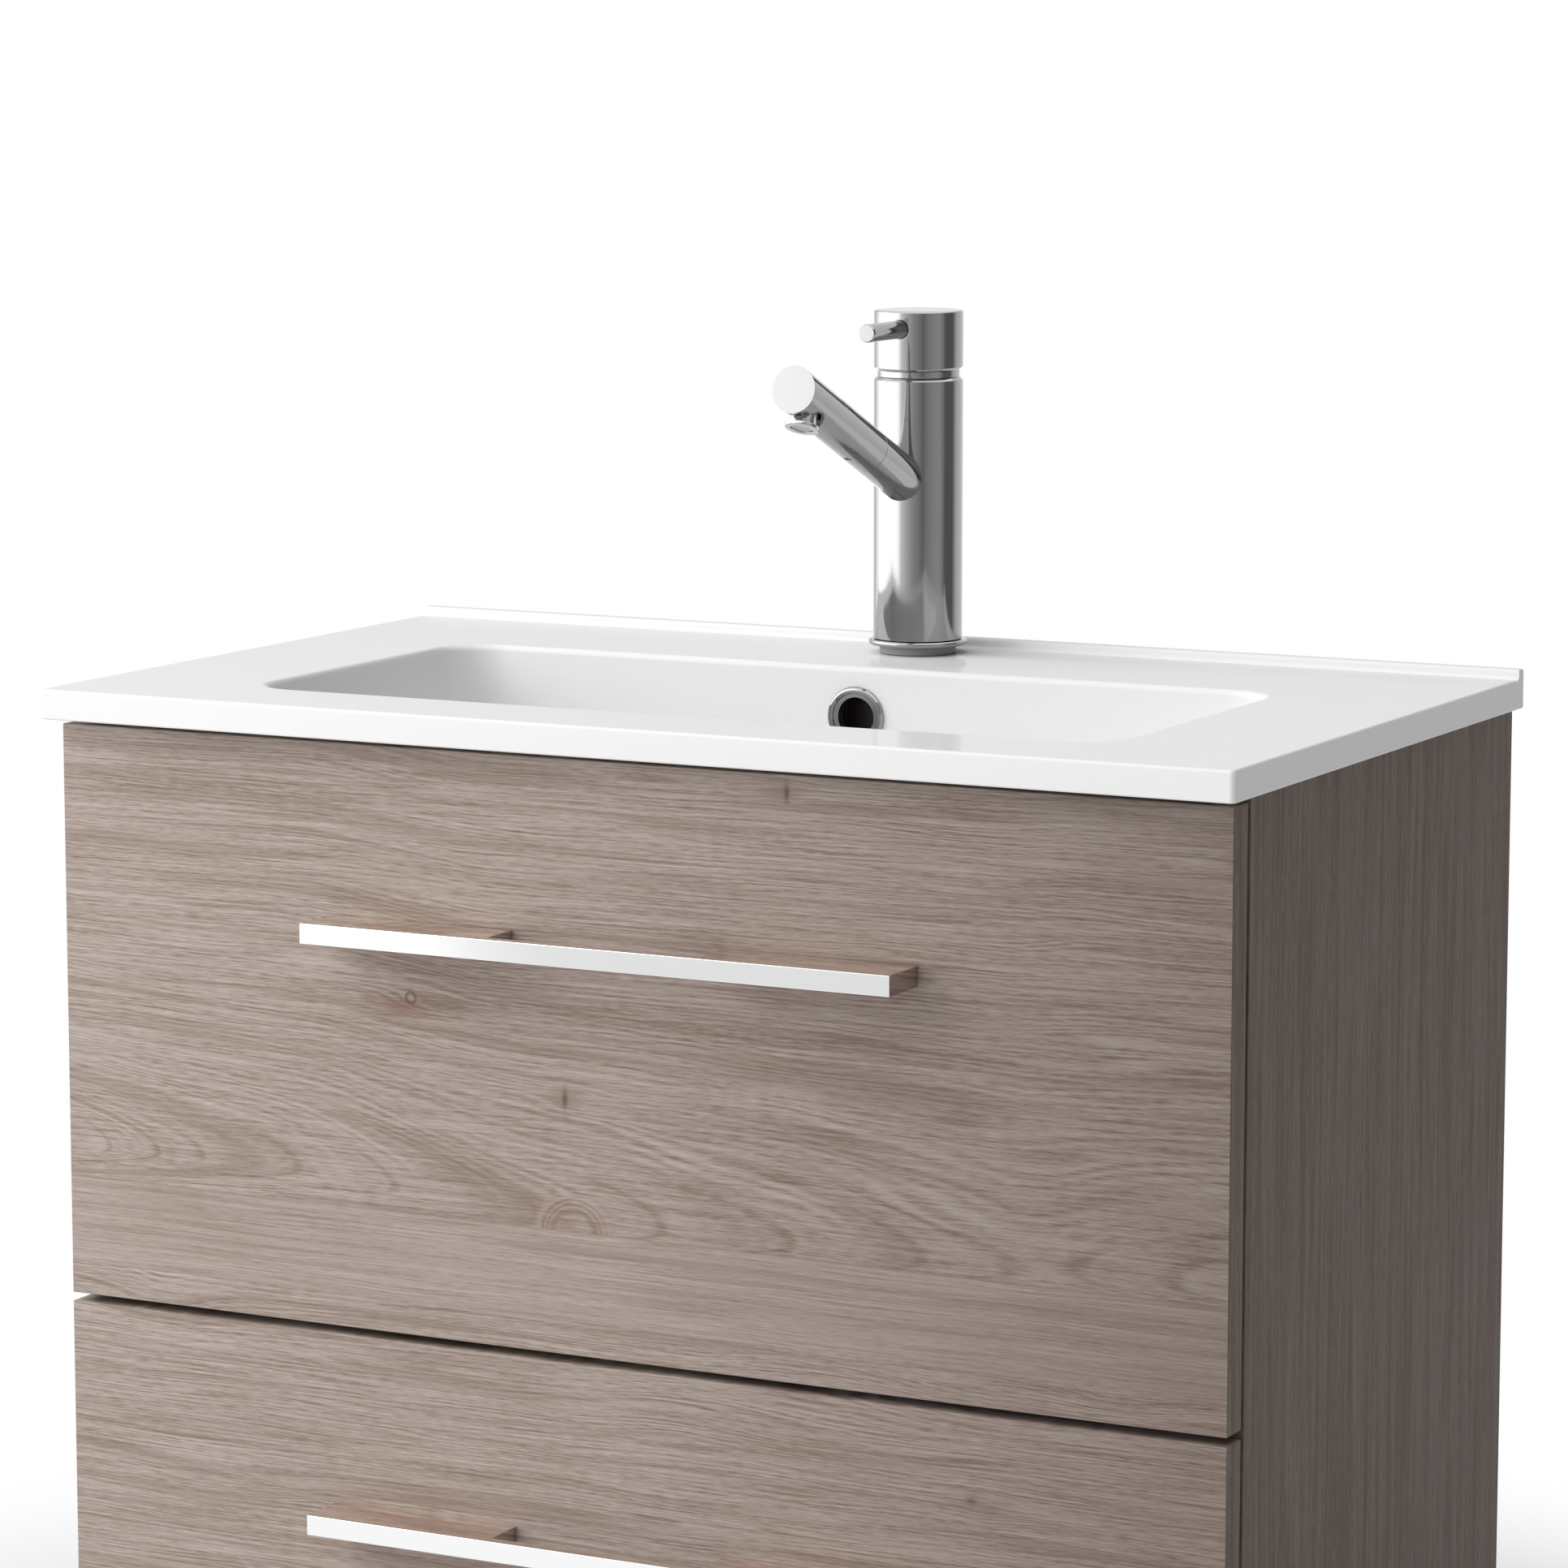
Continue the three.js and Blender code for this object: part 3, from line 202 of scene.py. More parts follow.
def grey(level):
    return (level, level, level, 1.0)


def toned(colour, tone):
    return tuple(c * tone for c in colour[:3]) + (1,)


# Materials
def ceramic_material():
    """Glazed sanitary ware: a faint unevenness in the glaze, a little colour in the body."""
    g = Surface("ceramic", IOR=1.5, Specular_IOR_Level=0.0, Coat_Weight=0.35, Coat_Roughness=0.07)
    at = g.place()
    colour = g.mix(g.noise(at, 7, 3), grey(0.86), (0.875, 0.875, 0.87, 1))
    rough = g.span(g.noise(at, 30, 3), 0.3, 0.7, 0.07, 0.11)
    rough = g.add(rough, g.mul(g.noise(at, 420, 2), 0.01))
    return g.out(colour, rough, g.noise(at, 16, 2), 0.06, 0.004)


# The laminate's tones, from the dark pores to the pale fibres
PORE, BROWN, MIDDLE, PALE = (
    srgb(112, 94, 83), srgb(148, 131, 120), srgb(172, 158, 149), srgb(196, 185, 178),
)
# The dark tone that the fronts' painted shade darkens them towards
FALLOFF_SHADE_TONE = (0.32, 0.28, 0.26, 1)


def grain(g, along, field, across, depth, seed=0.0, rings=1.0, lines=1.0):
    """Tone and brownness of a wood print, both about 0.5. Lengths are in millimetres.

    Growth lines follow the field evenly, about 2 mm apart. Streaks and fibres run straight."""
    def layer(place, length, width, slide, detail=1.0):
        at = g.merge(
            g.mul(along, 1 / length), g.add(g.mul(place, 1 / width), slide + seed), g.mul(depth, 0.05),
        )
        return g.sub(g.noise(at, 1, detail), 0.5)
    band = layer(field, 320, 11, 3.1, 2)
    ring = layer(field, 170, 5, 17.7)
    phase = g.add(g.mul(field, 1 / 2.05), g.mul(layer(field, 140, 7, 29.3), 5))
    line = g.math("SINE", g.mul(phase, 2 * math.pi))
    share = g.span(layer(field, 70, 6, 53.9), -0.16, 0.16, 0.1, 1.0)
    tone = g.add(
        g.mul(band, 0.13), g.mul(ring, g.mul(rings, 0.14)), g.mul(line, share, g.mul(lines, 0.075)),
        g.mul(layer(across, 65, 1.25, 41.3), 0.35), g.mul(layer(across, 8, 0.55, 77.9), 0.36), 0.5,
    )
    return tone, g.sub(0.5, g.add(g.mul(band, 0.9), g.mul(ring, g.mul(rings, 0.8))))


def wood_shader(g, tone, brown, level, tint=(), falloff_shade=0.0):
    """Colour, roughness and relief from the grain, with a painted shade multiplied over the colour."""
    stops = ((0.22, PORE), (0.4, BROWN), (0.51, MIDDLE), (0.7, PALE))
    colour = g.ramp(tone, [(place, toned(shade, level)) for place, shade in stops])
    colour = g.mix(g.smooth(brown, 0.5, 0.75, 0.0, 0.4), colour, toned(BROWN, level))
    for share, shade in tint:
        colour = g.mix(share, colour, toned(shade, level))
    # Painted shade: the colour is multiplied towards a dark tone by the given share
    colour = g.mix(falloff_shade, colour, FALLOFF_SHADE_TONE, "MULTIPLY")
    return g.out(colour, g.span(tone, 0.35, 0.65, 0.55, 0.45), tone, 0.2, 0.0003)


def wood_material(name, upright, level, seed, tint=()):
    """Plain wood-grain laminate; the grain runs along X, or along Z where upright."""
    g = Surface(name, IOR=1.45, Specular_IOR_Level=0.15)
    x, y, z = g.millimetres()
    along, across, depth = (z, y, x) if upright else (x, z, y)
    slow = g.noise(g.merge(g.mul(along, 0.003), g.mul(across, 0.016), seed), 1, 1)
    field = g.add(across, g.mul(g.sub(slow, 0.5), 22))
    tone, brown = grain(g, along, field, field, depth, seed, 1.5, 0.6)
    return wood_shader(g, g.add(0.5, g.mul(g.sub(tone, 0.5), 1.3)), brown, level, tint)


# The front's print, in X and Z: joints between its planks, its knots, the arches' axis
PLANK_JOINTS = (338.7, 297.0, 96.0)
KNOT_RING, KNOT_DASH, KNOT_TOP, KNOT_LOW = (-109, 440.7), (-27.7, 400.5), (86, 549), (180, 235)
BIG_KNOT, ARCH_AXIS = (-23.3, 338.7), 344
# Hills in the lower plank's lines: place, reach along X and Z, rise
HILLS = (
    ((-250, 284), 30, 16, 9), ((97, 284), 48, 16, -8), ((249, 290), 30, 9, 5),
    ((28, 262), 45, 22, -6), ((-225, 200), 60, 16, 6), ((110, 150), 60, 25, 8),
)
# Knots round which the grain parts: place, reach along X and Z
PARTINGS = ((KNOT_RING, 26, 9), (KNOT_DASH, 15, 6), (KNOT_TOP, 16, 6), (KNOT_LOW, 18, 8))
# Fields at which the long arches have a darker line
DARK_RINGS = (22.5, 28.3, 32.7, 39.7, 46.0, 53.5, 59.6, 64.3, 70.1, 72.6)


def arch_field(g, x, z):
    """The upper plank's parabolas round an axis near its lower edge, flatter below the axis."""
    axis = g.add(ARCH_AXIS, g.add(g.smooth(x, -60, -170, 0, 10), g.smooth(x, 190, 235, 0, 3)))
    off = g.sub(z, axis)
    off = g.mul(off, g.smooth(off, -1, 1, 2.6, 1.0))
    reach = g.math("SMOOTH_MIN", g.mul(g.add(x, 330), 10.0), g.mul(g.sub(896, x), 8.0), 500.0)
    reach = g.mul(reach, g.smooth(off, 20, 150, 1.0, 0.15))
    return off, g.math("SQRT", g.add(g.mul(off, off), reach))


def hill_field(g, x, z):
    """The lower plank's low hills."""
    field = z
    for place, half_x, half_z, rise in HILLS:
        field = g.add(field, g.mul(g.near(x, z, place, half_x, half_z), rise))
    return field


def with_knots(g, x, z, field, upper):
    """The field after the grain has parted round the knots, and where the big knot is."""
    for place, half_x, half_z in PARTINGS:
        share = g.near(x, z, place, half_x, half_z)
        field = g.sub(field, g.mul(share, g.sub(z, place[1]), 0.55))
    radius = g.math("SQRT", g.squares(g.sub(x, BIG_KNOT[0]), g.mul(g.sub(z, BIG_KNOT[1]), 1.1)))
    inside = g.mul(g.smooth(radius, 23, 16), upper)
    rings = g.add(g.mul(radius, 0.62), 44)
    return g.add(g.mul(g.rest(inside), field), g.mul(inside, rings)), inside


def dark_marks(g, x, z, field, share):
    """The arches' darker lines, by their share, and two dark streaks."""
    lines = 0.0
    for ring in DARK_RINGS:
        lines = g.add(lines, g.smooth(g.gap(field, ring), 0.5, 0.05))
    return g.add(
        g.mul(lines, share, 0.07), g.mul(g.near(x, z, (20, 439), 190, 6), 0.08),
        g.mul(g.near(x, z, (-235, 531), 75, 6), 0.07),
    )


def knot_tints(g, x, z, upper):
    """The knots' and the upper joint's own colours: (share, colour)."""
    def spot(place, half_x, half_z, share, colour, part=1.0):
        return g.mul(part, g.near(x, z, place, half_x, half_z), share), colour

    radius = g.math("SQRT", g.squares(g.sub(x, KNOT_RING[0]), g.sub(z, KNOT_RING[1])))
    rim = g.mul(g.smooth(radius, 1.2, 2.2), g.smooth(radius, 3.8, 2.6))
    joint = g.smooth(g.gap(z, PLANK_JOINTS[0]), 0.8, 0.2)
    red, deep = srgb(148, 117, 99), srgb(84, 66, 56)
    return [
        spot((-114, 436), 16, 5, 0.75, srgb(142, 114, 97)), spot(KNOT_DASH, 9, 4.5, 0.8, BROWN),
        spot((83, 548.5), 11, 4, 0.8, BROWN), spot((184, 234), 12, 5, 0.45, BROWN),
        spot((-32, 343), 11, 9, 0.4, red, upper), spot((-11, 342), 5, 6, 0.5, red, upper),
        (g.mul(rim, 0.65), srgb(110, 84, 70)), spot(KNOT_DASH, 1.5, 4.6, 0.75, deep),
        spot(KNOT_TOP, 1.4, 4.2, 0.7, deep), spot((178, 238), 2.5, 2.2, 0.45, deep),
        (g.mul(joint, 0.35), BROWN),
    ]


def front_material():
    """The fronts' print: three planks, the upper one with long arches that point right."""
    g = Surface("wood_front", IOR=1.45, Specular_IOR_Level=0.15)
    x, y, z = g.millimetres()
    upper = g.smooth(z, PLANK_JOINTS[0] - 0.3, PLANK_JOINTS[0] + 0.3)
    lower = g.smooth(z, PLANK_JOINTS[1] + 0.5, PLANK_JOINTS[1] - 0.5)
    last = g.smooth(z, PLANK_JOINTS[2] + 0.3, PLANK_JOINTS[2] - 0.3)
    straight = g.rest(upper)
    off, arches = arch_field(g, x, z)
    field = g.add(g.mul(upper, arches), g.mul(straight, g.add(g.mul(z, 1.15), 900)))
    field = g.add(g.mul(lower, hill_field(g, x, z)), g.mul(g.rest(lower), field), g.mul(last, 333))
    wave = g.noise(g.merge(g.mul(x, 1 / 110), g.mul(field, 1 / 22), 0.0), 1, 1)
    wave = g.mul(g.sub(wave, 0.5), 3)
    field, inside = with_knots(g, x, z, g.add(field, wave), upper)
    # Wider rings and fainter lines near the arches' axis
    low = g.smooth(g.gap(z, 348), 42, 6)
    near_axis = g.mul(g.smooth(g.math("ABSOLUTE", off), 18, 4), g.sub(upper, inside))
    rings, lines = g.add(0.8, g.mul(low, 0.35)), g.rest(g.mul(near_axis, 0.8))
    tone, brown = grain(g, x, field, g.add(z, wave), y, 0.0, rings, lines)
    tone = g.sub(tone, dark_marks(g, x, z, field, g.mul(upper, low, g.rest(inside))))
    # The middle plank is calmer
    calm = g.mul(straight, g.rest(lower))
    tone = g.mul(g.sub(tone, 0.5), g.rest(g.mul(calm, 0.35)))
    tone = g.add(tone, g.add(0.5, g.mul(calm, 0.015)))
    # Painted shade: the colour darkens to the right, standing in for the light's fall-off and the
    # sheen from the left
    falloff_shade = g.add(g.span(x, -290, -110, 0.0, 0.09), g.span(x, -10, 300, 0.0, 0.5))
    return wood_shader(g, tone, brown, 0.97, knot_tints(g, x, z, upper), falloff_shade)


def chrome_material(name="chrome", level=0.36, low=0.045, high=0.1, tint=(1.0, 1.0, 1.0)):
    """Mirror-bright plating. The studio's cards are bright, so its own level is low."""
    g = Surface(name, Metallic=1.0)
    at = g.place()
    smear = g.noise(g.stretch(at, 1, 1, 2.5), 22, 4, 0.6)
    clear = toned(tint, level)
    dull = tuple(c * k for c, k in zip(clear, (1.015, 1.02, 1.03))) + (1,)
    rough = g.add(g.span(smear, 0.35, 0.7, low, high), g.mul(g.noise(at, 900, 2), 0.02))
    return g.out(g.mix(smear, clear, dull), rough, smear, 0.02, 0.0005)


def metal_material(name, colour, low, high, scale=70):
    """Rolled or cast metal with faint cells and clouds."""
    g = Surface(name, Metallic=1.0)
    at = g.place()
    tint = g.noise(at, 35, 3)
    shade = g.mix(g.mul(g.cells(at, scale), 0.3), colour, toned(colour, 0.7))
    shade = g.mix(g.mul(tint, 0.25), shade, toned(colour, 0.62))
    return g.out(shade, g.span(g.noise(at, scale * 4, 3), 0.3, 0.7, low, high), tint, 0.05, 0.001)


def rubber_material():
    g = Surface("rubber")
    fine = g.noise(g.place(), 1300, 3)
    rough = g.span(fine, 0.3, 0.7, 0.6, 0.8)
    return g.out(g.mix(fine, grey(0.008), grey(0.022)), rough, fine, 0.2, 0.0002)


def plastic_material(name="plastic", colour=(0.74, 0.74, 0.71, 1)):
    g = Surface(name, IOR=1.46)
    at = g.place()
    fine = g.noise(at, 2200, 2)
    shade = g.mix(g.noise(at, 60, 2), colour, toned(colour, 0.9))
    return g.out(shade, g.span(fine, 0.3, 0.7, 0.38, 0.5), fine, 0.15, 0.00015)


def board_material():
    """Pale grey-beige laminate of the drawer boxes, with a fine linen print."""
    g = Surface("drawer_board", IOR=1.45)
    at = g.place()
    warp = g.noise(g.stretch(at, 900, 60, 900), 1, 2)
    weft = g.noise(g.stretch(at, 90, 1400, 90), 1, 2)
    cloth = g.add(g.mul(warp, 0.5), g.mul(weft, 0.5))
    colour = g.ramp(cloth, [(0.35, srgb(168, 162, 154)), (0.62, srgb(192, 187, 180))])
    return g.out(colour, g.span(cloth, 0.35, 0.65, 0.55, 0.65), cloth, 0.15, 0.0003)


def chipboard_material():
    """Raw board on the edges that aren't seen from the front."""
    g = Surface("chipboard")
    tone = g.cells(g.stretch(g.place(), 1, 1, 2.2), 420)
    colour = g.ramp(tone, [
        (0.0, srgb(121, 94, 66)), (0.4, srgb(168, 138, 101)), (1.0, srgb(205, 180, 140)),
    ])
    return g.out(colour, g.span(tone, 0, 1, 0.8, 0.95), tone, 0.5, 0.0006)


CERAMIC = ceramic_material()
WOOD_FRONT = front_material()
# Painted shade in part: the side faces' wood is set far darker than the fronts', to match their shaded
# tone
WOOD_SIDE = wood_material("wood_side", True, 0.385, 5.0, [(0.33, srgb(150, 112, 88))])
WOOD_SIDE_FLAT = wood_material("wood_inside", False, 0.6, 9.0)
CHROME = chrome_material()
# Painted light: a brighter copy of the chrome, which lifts the aerator housing out of the spout's
# shade
CHROME_PAINTED_LIGHT = chrome_material("chrome_painted_light", 0.62)
HANDLE = chrome_material("handle_chrome", 0.92, 0.03, 0.06)
# Painted reflection: the bar's top, bottom and back carry a warm tint for the wood that they reflect
HANDLE_TOP_REFLECTION = chrome_material("handle_top_painted_reflection", 0.93, 0.05, 0.09, (1.0, 0.89, 0.82))
# Painted shade and reflection: the bar's ends are darker and warm, for the shaded wood beside them
HANDLE_END_SHADE = chrome_material("handle_end_painted_shade", 0.5, 0.05, 0.09, (1.0, 0.9, 0.84))
STEEL = metal_material("steel", (0.42, 0.44, 0.46, 1), 0.3, 0.45)
BRASS = metal_material("brass", srgb(190, 158, 92), 0.25, 0.4, 110)
RUBBER = rubber_material()
SEAL = plastic_material("seal", (0.3, 0.3, 0.3, 1))
# Painted shade: a near-black lining for the inside of the overflow duct
DUCT_PAINTED_SHADE = plastic_material("duct", (0.022, 0.014, 0.01, 1))
BISQUE = plastic_material("bisque", (0.72, 0.7, 0.66, 1))
PLASTIC = plastic_material()
BOARD = board_material()
CHIPBOARD = chipboard_material()


# Meshes, all in millimetres
def mesh_of(points, faces):
    mesh = bpy.data.meshes.new("mesh")
    mesh.from_pydata([tuple(c * MM for c in point) for point in points], [], faces)
    mesh.update()
    return mesh


def from_bmesh(work):
    """The mesh that a bmesh holds, as a new one."""
    mesh = bpy.data.meshes.new("mesh")
    work.to_mesh(mesh)
    work.free()
    return mesh


def clean(mesh, merge=1e-6):
    """The mesh with points on the same spot merged and all faces looking out."""
    work = bmesh.new()
    work.from_mesh(mesh)
    bmesh.ops.remove_doubles(work, verts=work.verts, dist=merge)
    bmesh.ops.recalc_face_normals(work, faces=work.faces)
    return from_bmesh(work)


def own_mesh(node):
    """A copy of a CAD node's own shape."""
    return clean(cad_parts[node].data.copy())


def box_mesh(low, high, round_edge=0.0, steps=2):
    """A box between two corners, with rounded edges."""
    work = bmesh.new()
    bmesh.ops.create_cube(work, size=1)
    low, high = Vector(low), Vector(high)
    for v in work.verts:
        v.co = Vector([(l + h) / 2 + c * (h - l) for l, h, c in zip(low, high, v.co)]) * MM
    if round_edge:
        bmesh.ops.bevel(
            work, geom=work.edges, offset=round_edge * MM, segments=steps, profile=0.5,
            affect="EDGES", clamp_overlap=True,
        )
    return from_bmesh(work)


def round_turns(steps):
    return [2 * math.pi * i / steps for i in range(steps)]


def quarter(steps, first=0):
    """Sine and cosine in even steps along a quarter turn."""
    turns = [i / steps * QUARTER for i in range(first, steps + 1)]
    return [(math.sin(turn), math.cos(turn)) for turn in turns]


def soften(points, radius=0.4, steps=4):
    """A closed outline with arcs at its corners. A point may carry its own radius as a third value."""
    made = []
    for i, point in enumerate(points):
        here = Vector(point[:2])
        own = point[2] if len(point) > 2 else radius
        before = Vector(points[i - 1][:2]) - here
        after = Vector(points[(i + 1) % len(points)][:2]) - here
        angle = before.angle(after, 0.0)
        if own <= 0 or angle < 1e-3 or angle > math.pi - 1e-3:
            made.append(tuple(here))
            continue
        cut = min(own / math.tan(angle / 2), before.length * 0.49, after.length * 0.49)
        before, after = before.normalized(), after.normalized()
        centre = here + (before + after).normalized() * (cut / math.cos(angle / 2))
        first = here + before * cut - centre
        turn = first.angle_signed(here + after * cut - centre, 0.0)
        for k in range(steps + 1):
            arm = first.copy()
            arm.rotate(Matrix.Rotation(-turn * k / steps, 2))
            made.append(tuple(centre + arm))
    return made


def turned_mesh(profile, segments=96, wobble=None):
    """A solid of revolution about Z from a closed profile of (radius, z)."""
    count = len(profile)
    points, faces = [], []
    for j, turn in enumerate(round_turns(segments)):
        after = (j + 1) % segments
        for i, (radius, z) in enumerate(profile):
            r = wobble(radius, z, turn) if wobble else radius
            points.append((r * math.cos(turn), r * math.sin(turn), z))
            k = (i + 1) % count
            if max(radius, profile[k][0]) > 1e-6:
                faces.append((j * count + i, after * count + i, after * count + k, j * count + k))
    return clean(mesh_of(points, faces))


def lathe(profile, segments=96, radius=0.4, steps=4, wobble=None):
    """A solid of revolution whose profile's corners are rounded."""
    return turned_mesh(soften(profile, radius, steps), segments, wobble)


def rod_mesh(radius, z0, z1, segments=64):
    return turned_mesh([(0, z0), (radius, z0), (radius, z1), (0, z1)], segments)


def lofted_mesh(rings, merge=1e-8):
    """A closed body through rings of as many points each."""
    count = len(rings[0])
    faces = []
    for i in range(len(rings) - 1):
        for j in range(count):
            k = (j + 1) % count
            faces.append((i * count + j, i * count + k, (i + 1) * count + k, (i + 1) * count + j))
    last = (len(rings) - 1) * count
    faces += [tuple(range(count))[::-1], tuple(range(last, last + count))]
    return clean(mesh_of([point for ring in rings for point in ring], faces), merge)


def extruded_mesh(section, start, end, axis):
    """The same section all along an axis. Its points are the other two coordinates."""
    i = "xyz".index(axis)
    rings = [[(*pair[:i], place, *pair[i:]) for pair in section] for place in (start, end)]
    return lofted_mesh(rings, 1e-6)


def rounded_ring(half_x, half_y, radius, centre, z, steps):
    """Points round a rectangle with round corners."""
    ring = []
    for part, (sx, sy) in enumerate([(1, 1), (-1, 1), (-1, -1), (1, -1)]):
        for i in range(steps + 1):
            turn = (part + i / steps) * QUARTER
            ring.append((
                centre[0] + sx * (half_x - radius) + radius * math.cos(turn),
                centre[1] + sy * (half_y - radius) + radius * math.sin(turn),
                z,
            ))
    return ring


def shifted(mesh, x=0.0, y=0.0, z=0.0, turn=None):
    """The mesh after a turn about the origin and a move."""
    matrix = Matrix.Translation((x * MM, y * MM, z * MM))
    mesh.transform(matrix @ turn if turn else matrix)
    return mesh


def boolean(base, tools, operation="DIFFERENCE"):
    """base with tools cut away or joined on, as a new mesh."""
    target = bpy.data.objects.new("work", base)
    COLLECTION.objects.link(target)
    helpers = []
    for tool in tools:
        helper = bpy.data.objects.new("tool", tool)
        COLLECTION.objects.link(helper)
        helpers.append(helper)
        modifier = target.modifiers.new("cut", "BOOLEAN")
        modifier.operation, modifier.solver, modifier.object = operation, "EXACT", helper
    bpy.context.view_layer.update()
    graph = bpy.context.evaluated_depsgraph_get()
    made = bpy.data.meshes.new_from_object(target.evaluated_get(graph))
    for o in [target, *helpers]:
        bpy.data.objects.remove(o)
    return made


def joined(meshes):
    work = bmesh.new()
    for mesh in meshes:
        work.from_mesh(mesh)
    return from_bmesh(work)


# Pieces
def bevelled(obj, width):
    """A new mesh with the object's sharp edges rounded."""
    modifier = obj.modifiers.new("edges", "BEVEL")
    modifier.width, modifier.segments = width * MM, 2
    modifier.limit_method, modifier.angle_limit = "ANGLE", math.radians(38)
    modifier.harden_normals = False
    graph = bpy.context.evaluated_depsgraph_get()
    made = bpy.data.meshes.new_from_object(obj.evaluated_get(graph))
    obj.modifiers.clear()
    return made


def piece(name, mesh, material, body, nodes=(), sharp=32, bevel=None, weighted=True):
    """Adds a piece that rides a body and stands for CAD nodes. Its faces take the first material
    unless set otherwise.
    """
    mesh.name = name
    obj = bpy.data.objects.new(name, mesh)
    COLLECTION.objects.link(obj)
    materials = material if isinstance(material, list) else [material]
    mesh.materials.clear()
    for one in materials:
        mesh.materials.append(one)
    mesh.shade_smooth()
    if bevel:
        obj.data = bevelled(obj, bevel)
        obj.data.name = name
    obj.data.set_sharp_from_angle(angle=math.radians(sharp))
    if weighted:
        modifier = obj.modifiers.new("normals", "WEIGHTED_NORMAL")
        modifier.keep_sharp = True
    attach(obj, body)
    if nodes:
        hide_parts(*nodes)
    return obj


def dress(node, ending, mesh, material=CHROME, body="cabinet", **looks):
    """Adds the piece that stands for one CAD node."""
    return piece(node + "_" + ending, mesh, material, body, [node], **looks)


def corners(node):
    """A CAD node's lowest and highest corner in millimetres."""
    low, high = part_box(node)
    return Vector(low) / MM, Vector(high) / MM


# Ways that a face can look, as an axis and a sign
LEFT, RIGHT, BACK, TOP = (0, -1), (0, 1), (1, 1), (2, 1)


def add_panel(node, ending, materials, radius, other, body="cabinet"):
    """A board in a node's place. The faces that look the other ways have the second material."""
    panel = dress(node, ending, box_mesh(*corners(node), radius), materials, body)
    for face in panel.data.polygons:
        if any(face.normal[axis] * sign > 0.9 for axis, sign in other):
            face.material_index = 1


def round_normals(obj, cylinders):
    """Exact normals where a face lies on one of the cylinders: (point, direction, radius)."""
    mesh = obj.data
    mesh.update()
    normals = [Vector(c.vector) for c in mesh.corner_normals]
    frames = [(Vector(p), Vector(d).normalized(), r) for p, d, r in cylinders]
    for face in mesh.polygons:
        places = [mesh.vertices[v].co / MM for v in face.vertices]
        for point, along, radius in frames:
            arms = [(c - point) - (c - point).dot(along) * along for c in places]
            if max(abs(a.length - radius) for a in arms) > 0.03:
                continue
            if abs(face.normal.dot(along)) > 0.3:
                continue
            for loop, arm in zip(face.loop_indices, arms):
                out = arm.normalized()
                normals[loop] = out if out.dot(face.normal) > 0 else -out
            break
    mesh.normals_split_custom_set([tuple(n) for n in normals])


def screw_mesh(radius, at, facing):
    """A screw's head with a cross recess, its seat at a point and its top towards facing."""
    turns, crown, edge, depth = round_turns(32), 0.8, 0.35, 0.7
    rings = []
    for share in (0, 0.14, 0.24, 0.4, 0.6, 0.8, 0.93, 1.0):
        ring = []
        for turn in turns:
            x, y = share * math.cos(turn), share * math.sin(turn)
            arm = min(abs(x), abs(y)) < 0.13 and max(abs(x), abs(y)) < 0.62
            z = crown * math.sqrt(max(0.0, 1 - share ** 2.6)) + edge
            ring.append((x * radius, y * radius, z - depth * arm))
        rings.append(ring)
    rings.append([(math.cos(turn) * radius, math.sin(turn) * radius, 0) for turn in turns])
    turn = Vector(facing).to_track_quat("Z", "Y").to_matrix().to_4x4()
    return shifted(lofted_mesh(rings, 1e-6), *at, turn=turn)


def screws(name, places, facing, radius, body):
    meshes = [screw_mesh(radius, at, facing) for at in places]
    piece(name, joined(meshes), STEEL, body, weighted=False)


# Places that several pieces share
BASIN_LOW, BASIN_HIGH = corners("basin")
BASIN_HALF = (BASIN_HIGH.x, (BASIN_HIGH.y - BASIN_LOW.y) / 2)
BASIN_CENTRE = (0, (BASIN_HIGH.y + BASIN_LOW.y) / 2)
UPSTAND = 4.7
DECK = BASIN_HIGH.z - UPSTAND
SLAB_FOOT = DECK - 14.4
BOWL_HALF = (222, 100)
BOWL_CENTRE = (0.0, BASIN_LOW.y + 54 + BOWL_HALF[1])
BOWL_BACK = BOWL_CENTRE[1] + BOWL_HALF[1]
BOWL_FLOOR = DECK - 110
OVERFLOW_Z = DECK - 24.6
TAP = (0.0, BASIN_HIGH.y - 38.5)
UP = (0, 0, 1)
WALL_SIDES = (("left", -1), ("right", 1))
# Thickness of bent steel
SHEET = 1.5


# Cabinet
def add_cabinet():
    for side in ("left", "right"):
        add_panel("side_panel_" + side, "board", [WOOD_SIDE, CHIPBOARD], 0.5, [BACK, TOP])
    flat = [WOOD_SIDE_FLAT, CHIPBOARD]
    add_panel("bottom_panel", "board", flat, 0.4, [LEFT, RIGHT])
    for node in ("top_rear_rail", "lower_rear_rail"):
        add_panel(node, "board", flat, 0.4, [LEFT, RIGHT, TOP])
    add_front_rail()
    add_hangers()
    for level in ("upper", "lower"):
        for side, sign in WALL_SIDES:
            add_runner(level, side, sign)


def add_front_rail():
    low, high = corners("front_rail")
    fold, drop = 1.1, 4
    section = soften([
        (low.y, low.z), (low.y + SHEET, low.z), (low.y + SHEET, high.z - SHEET, fold),
        (high.y, high.z - SHEET), (high.y, high.z), (low.y, high.z, fold + 0.9),
    ])
    mesh = extruded_mesh(section, low.x, high.x, "x")
    drills = [
        shifted(rod_mesh(2.2, -4, 4, 24), x, low.y, (low.z + high.z) / 2 - drop, TO_FRONT)
        for x in (-250, -150, -50, 50, 150, 250)
    ]
    dress("front_rail", "angle", boolean(mesh, drills), STEEL)


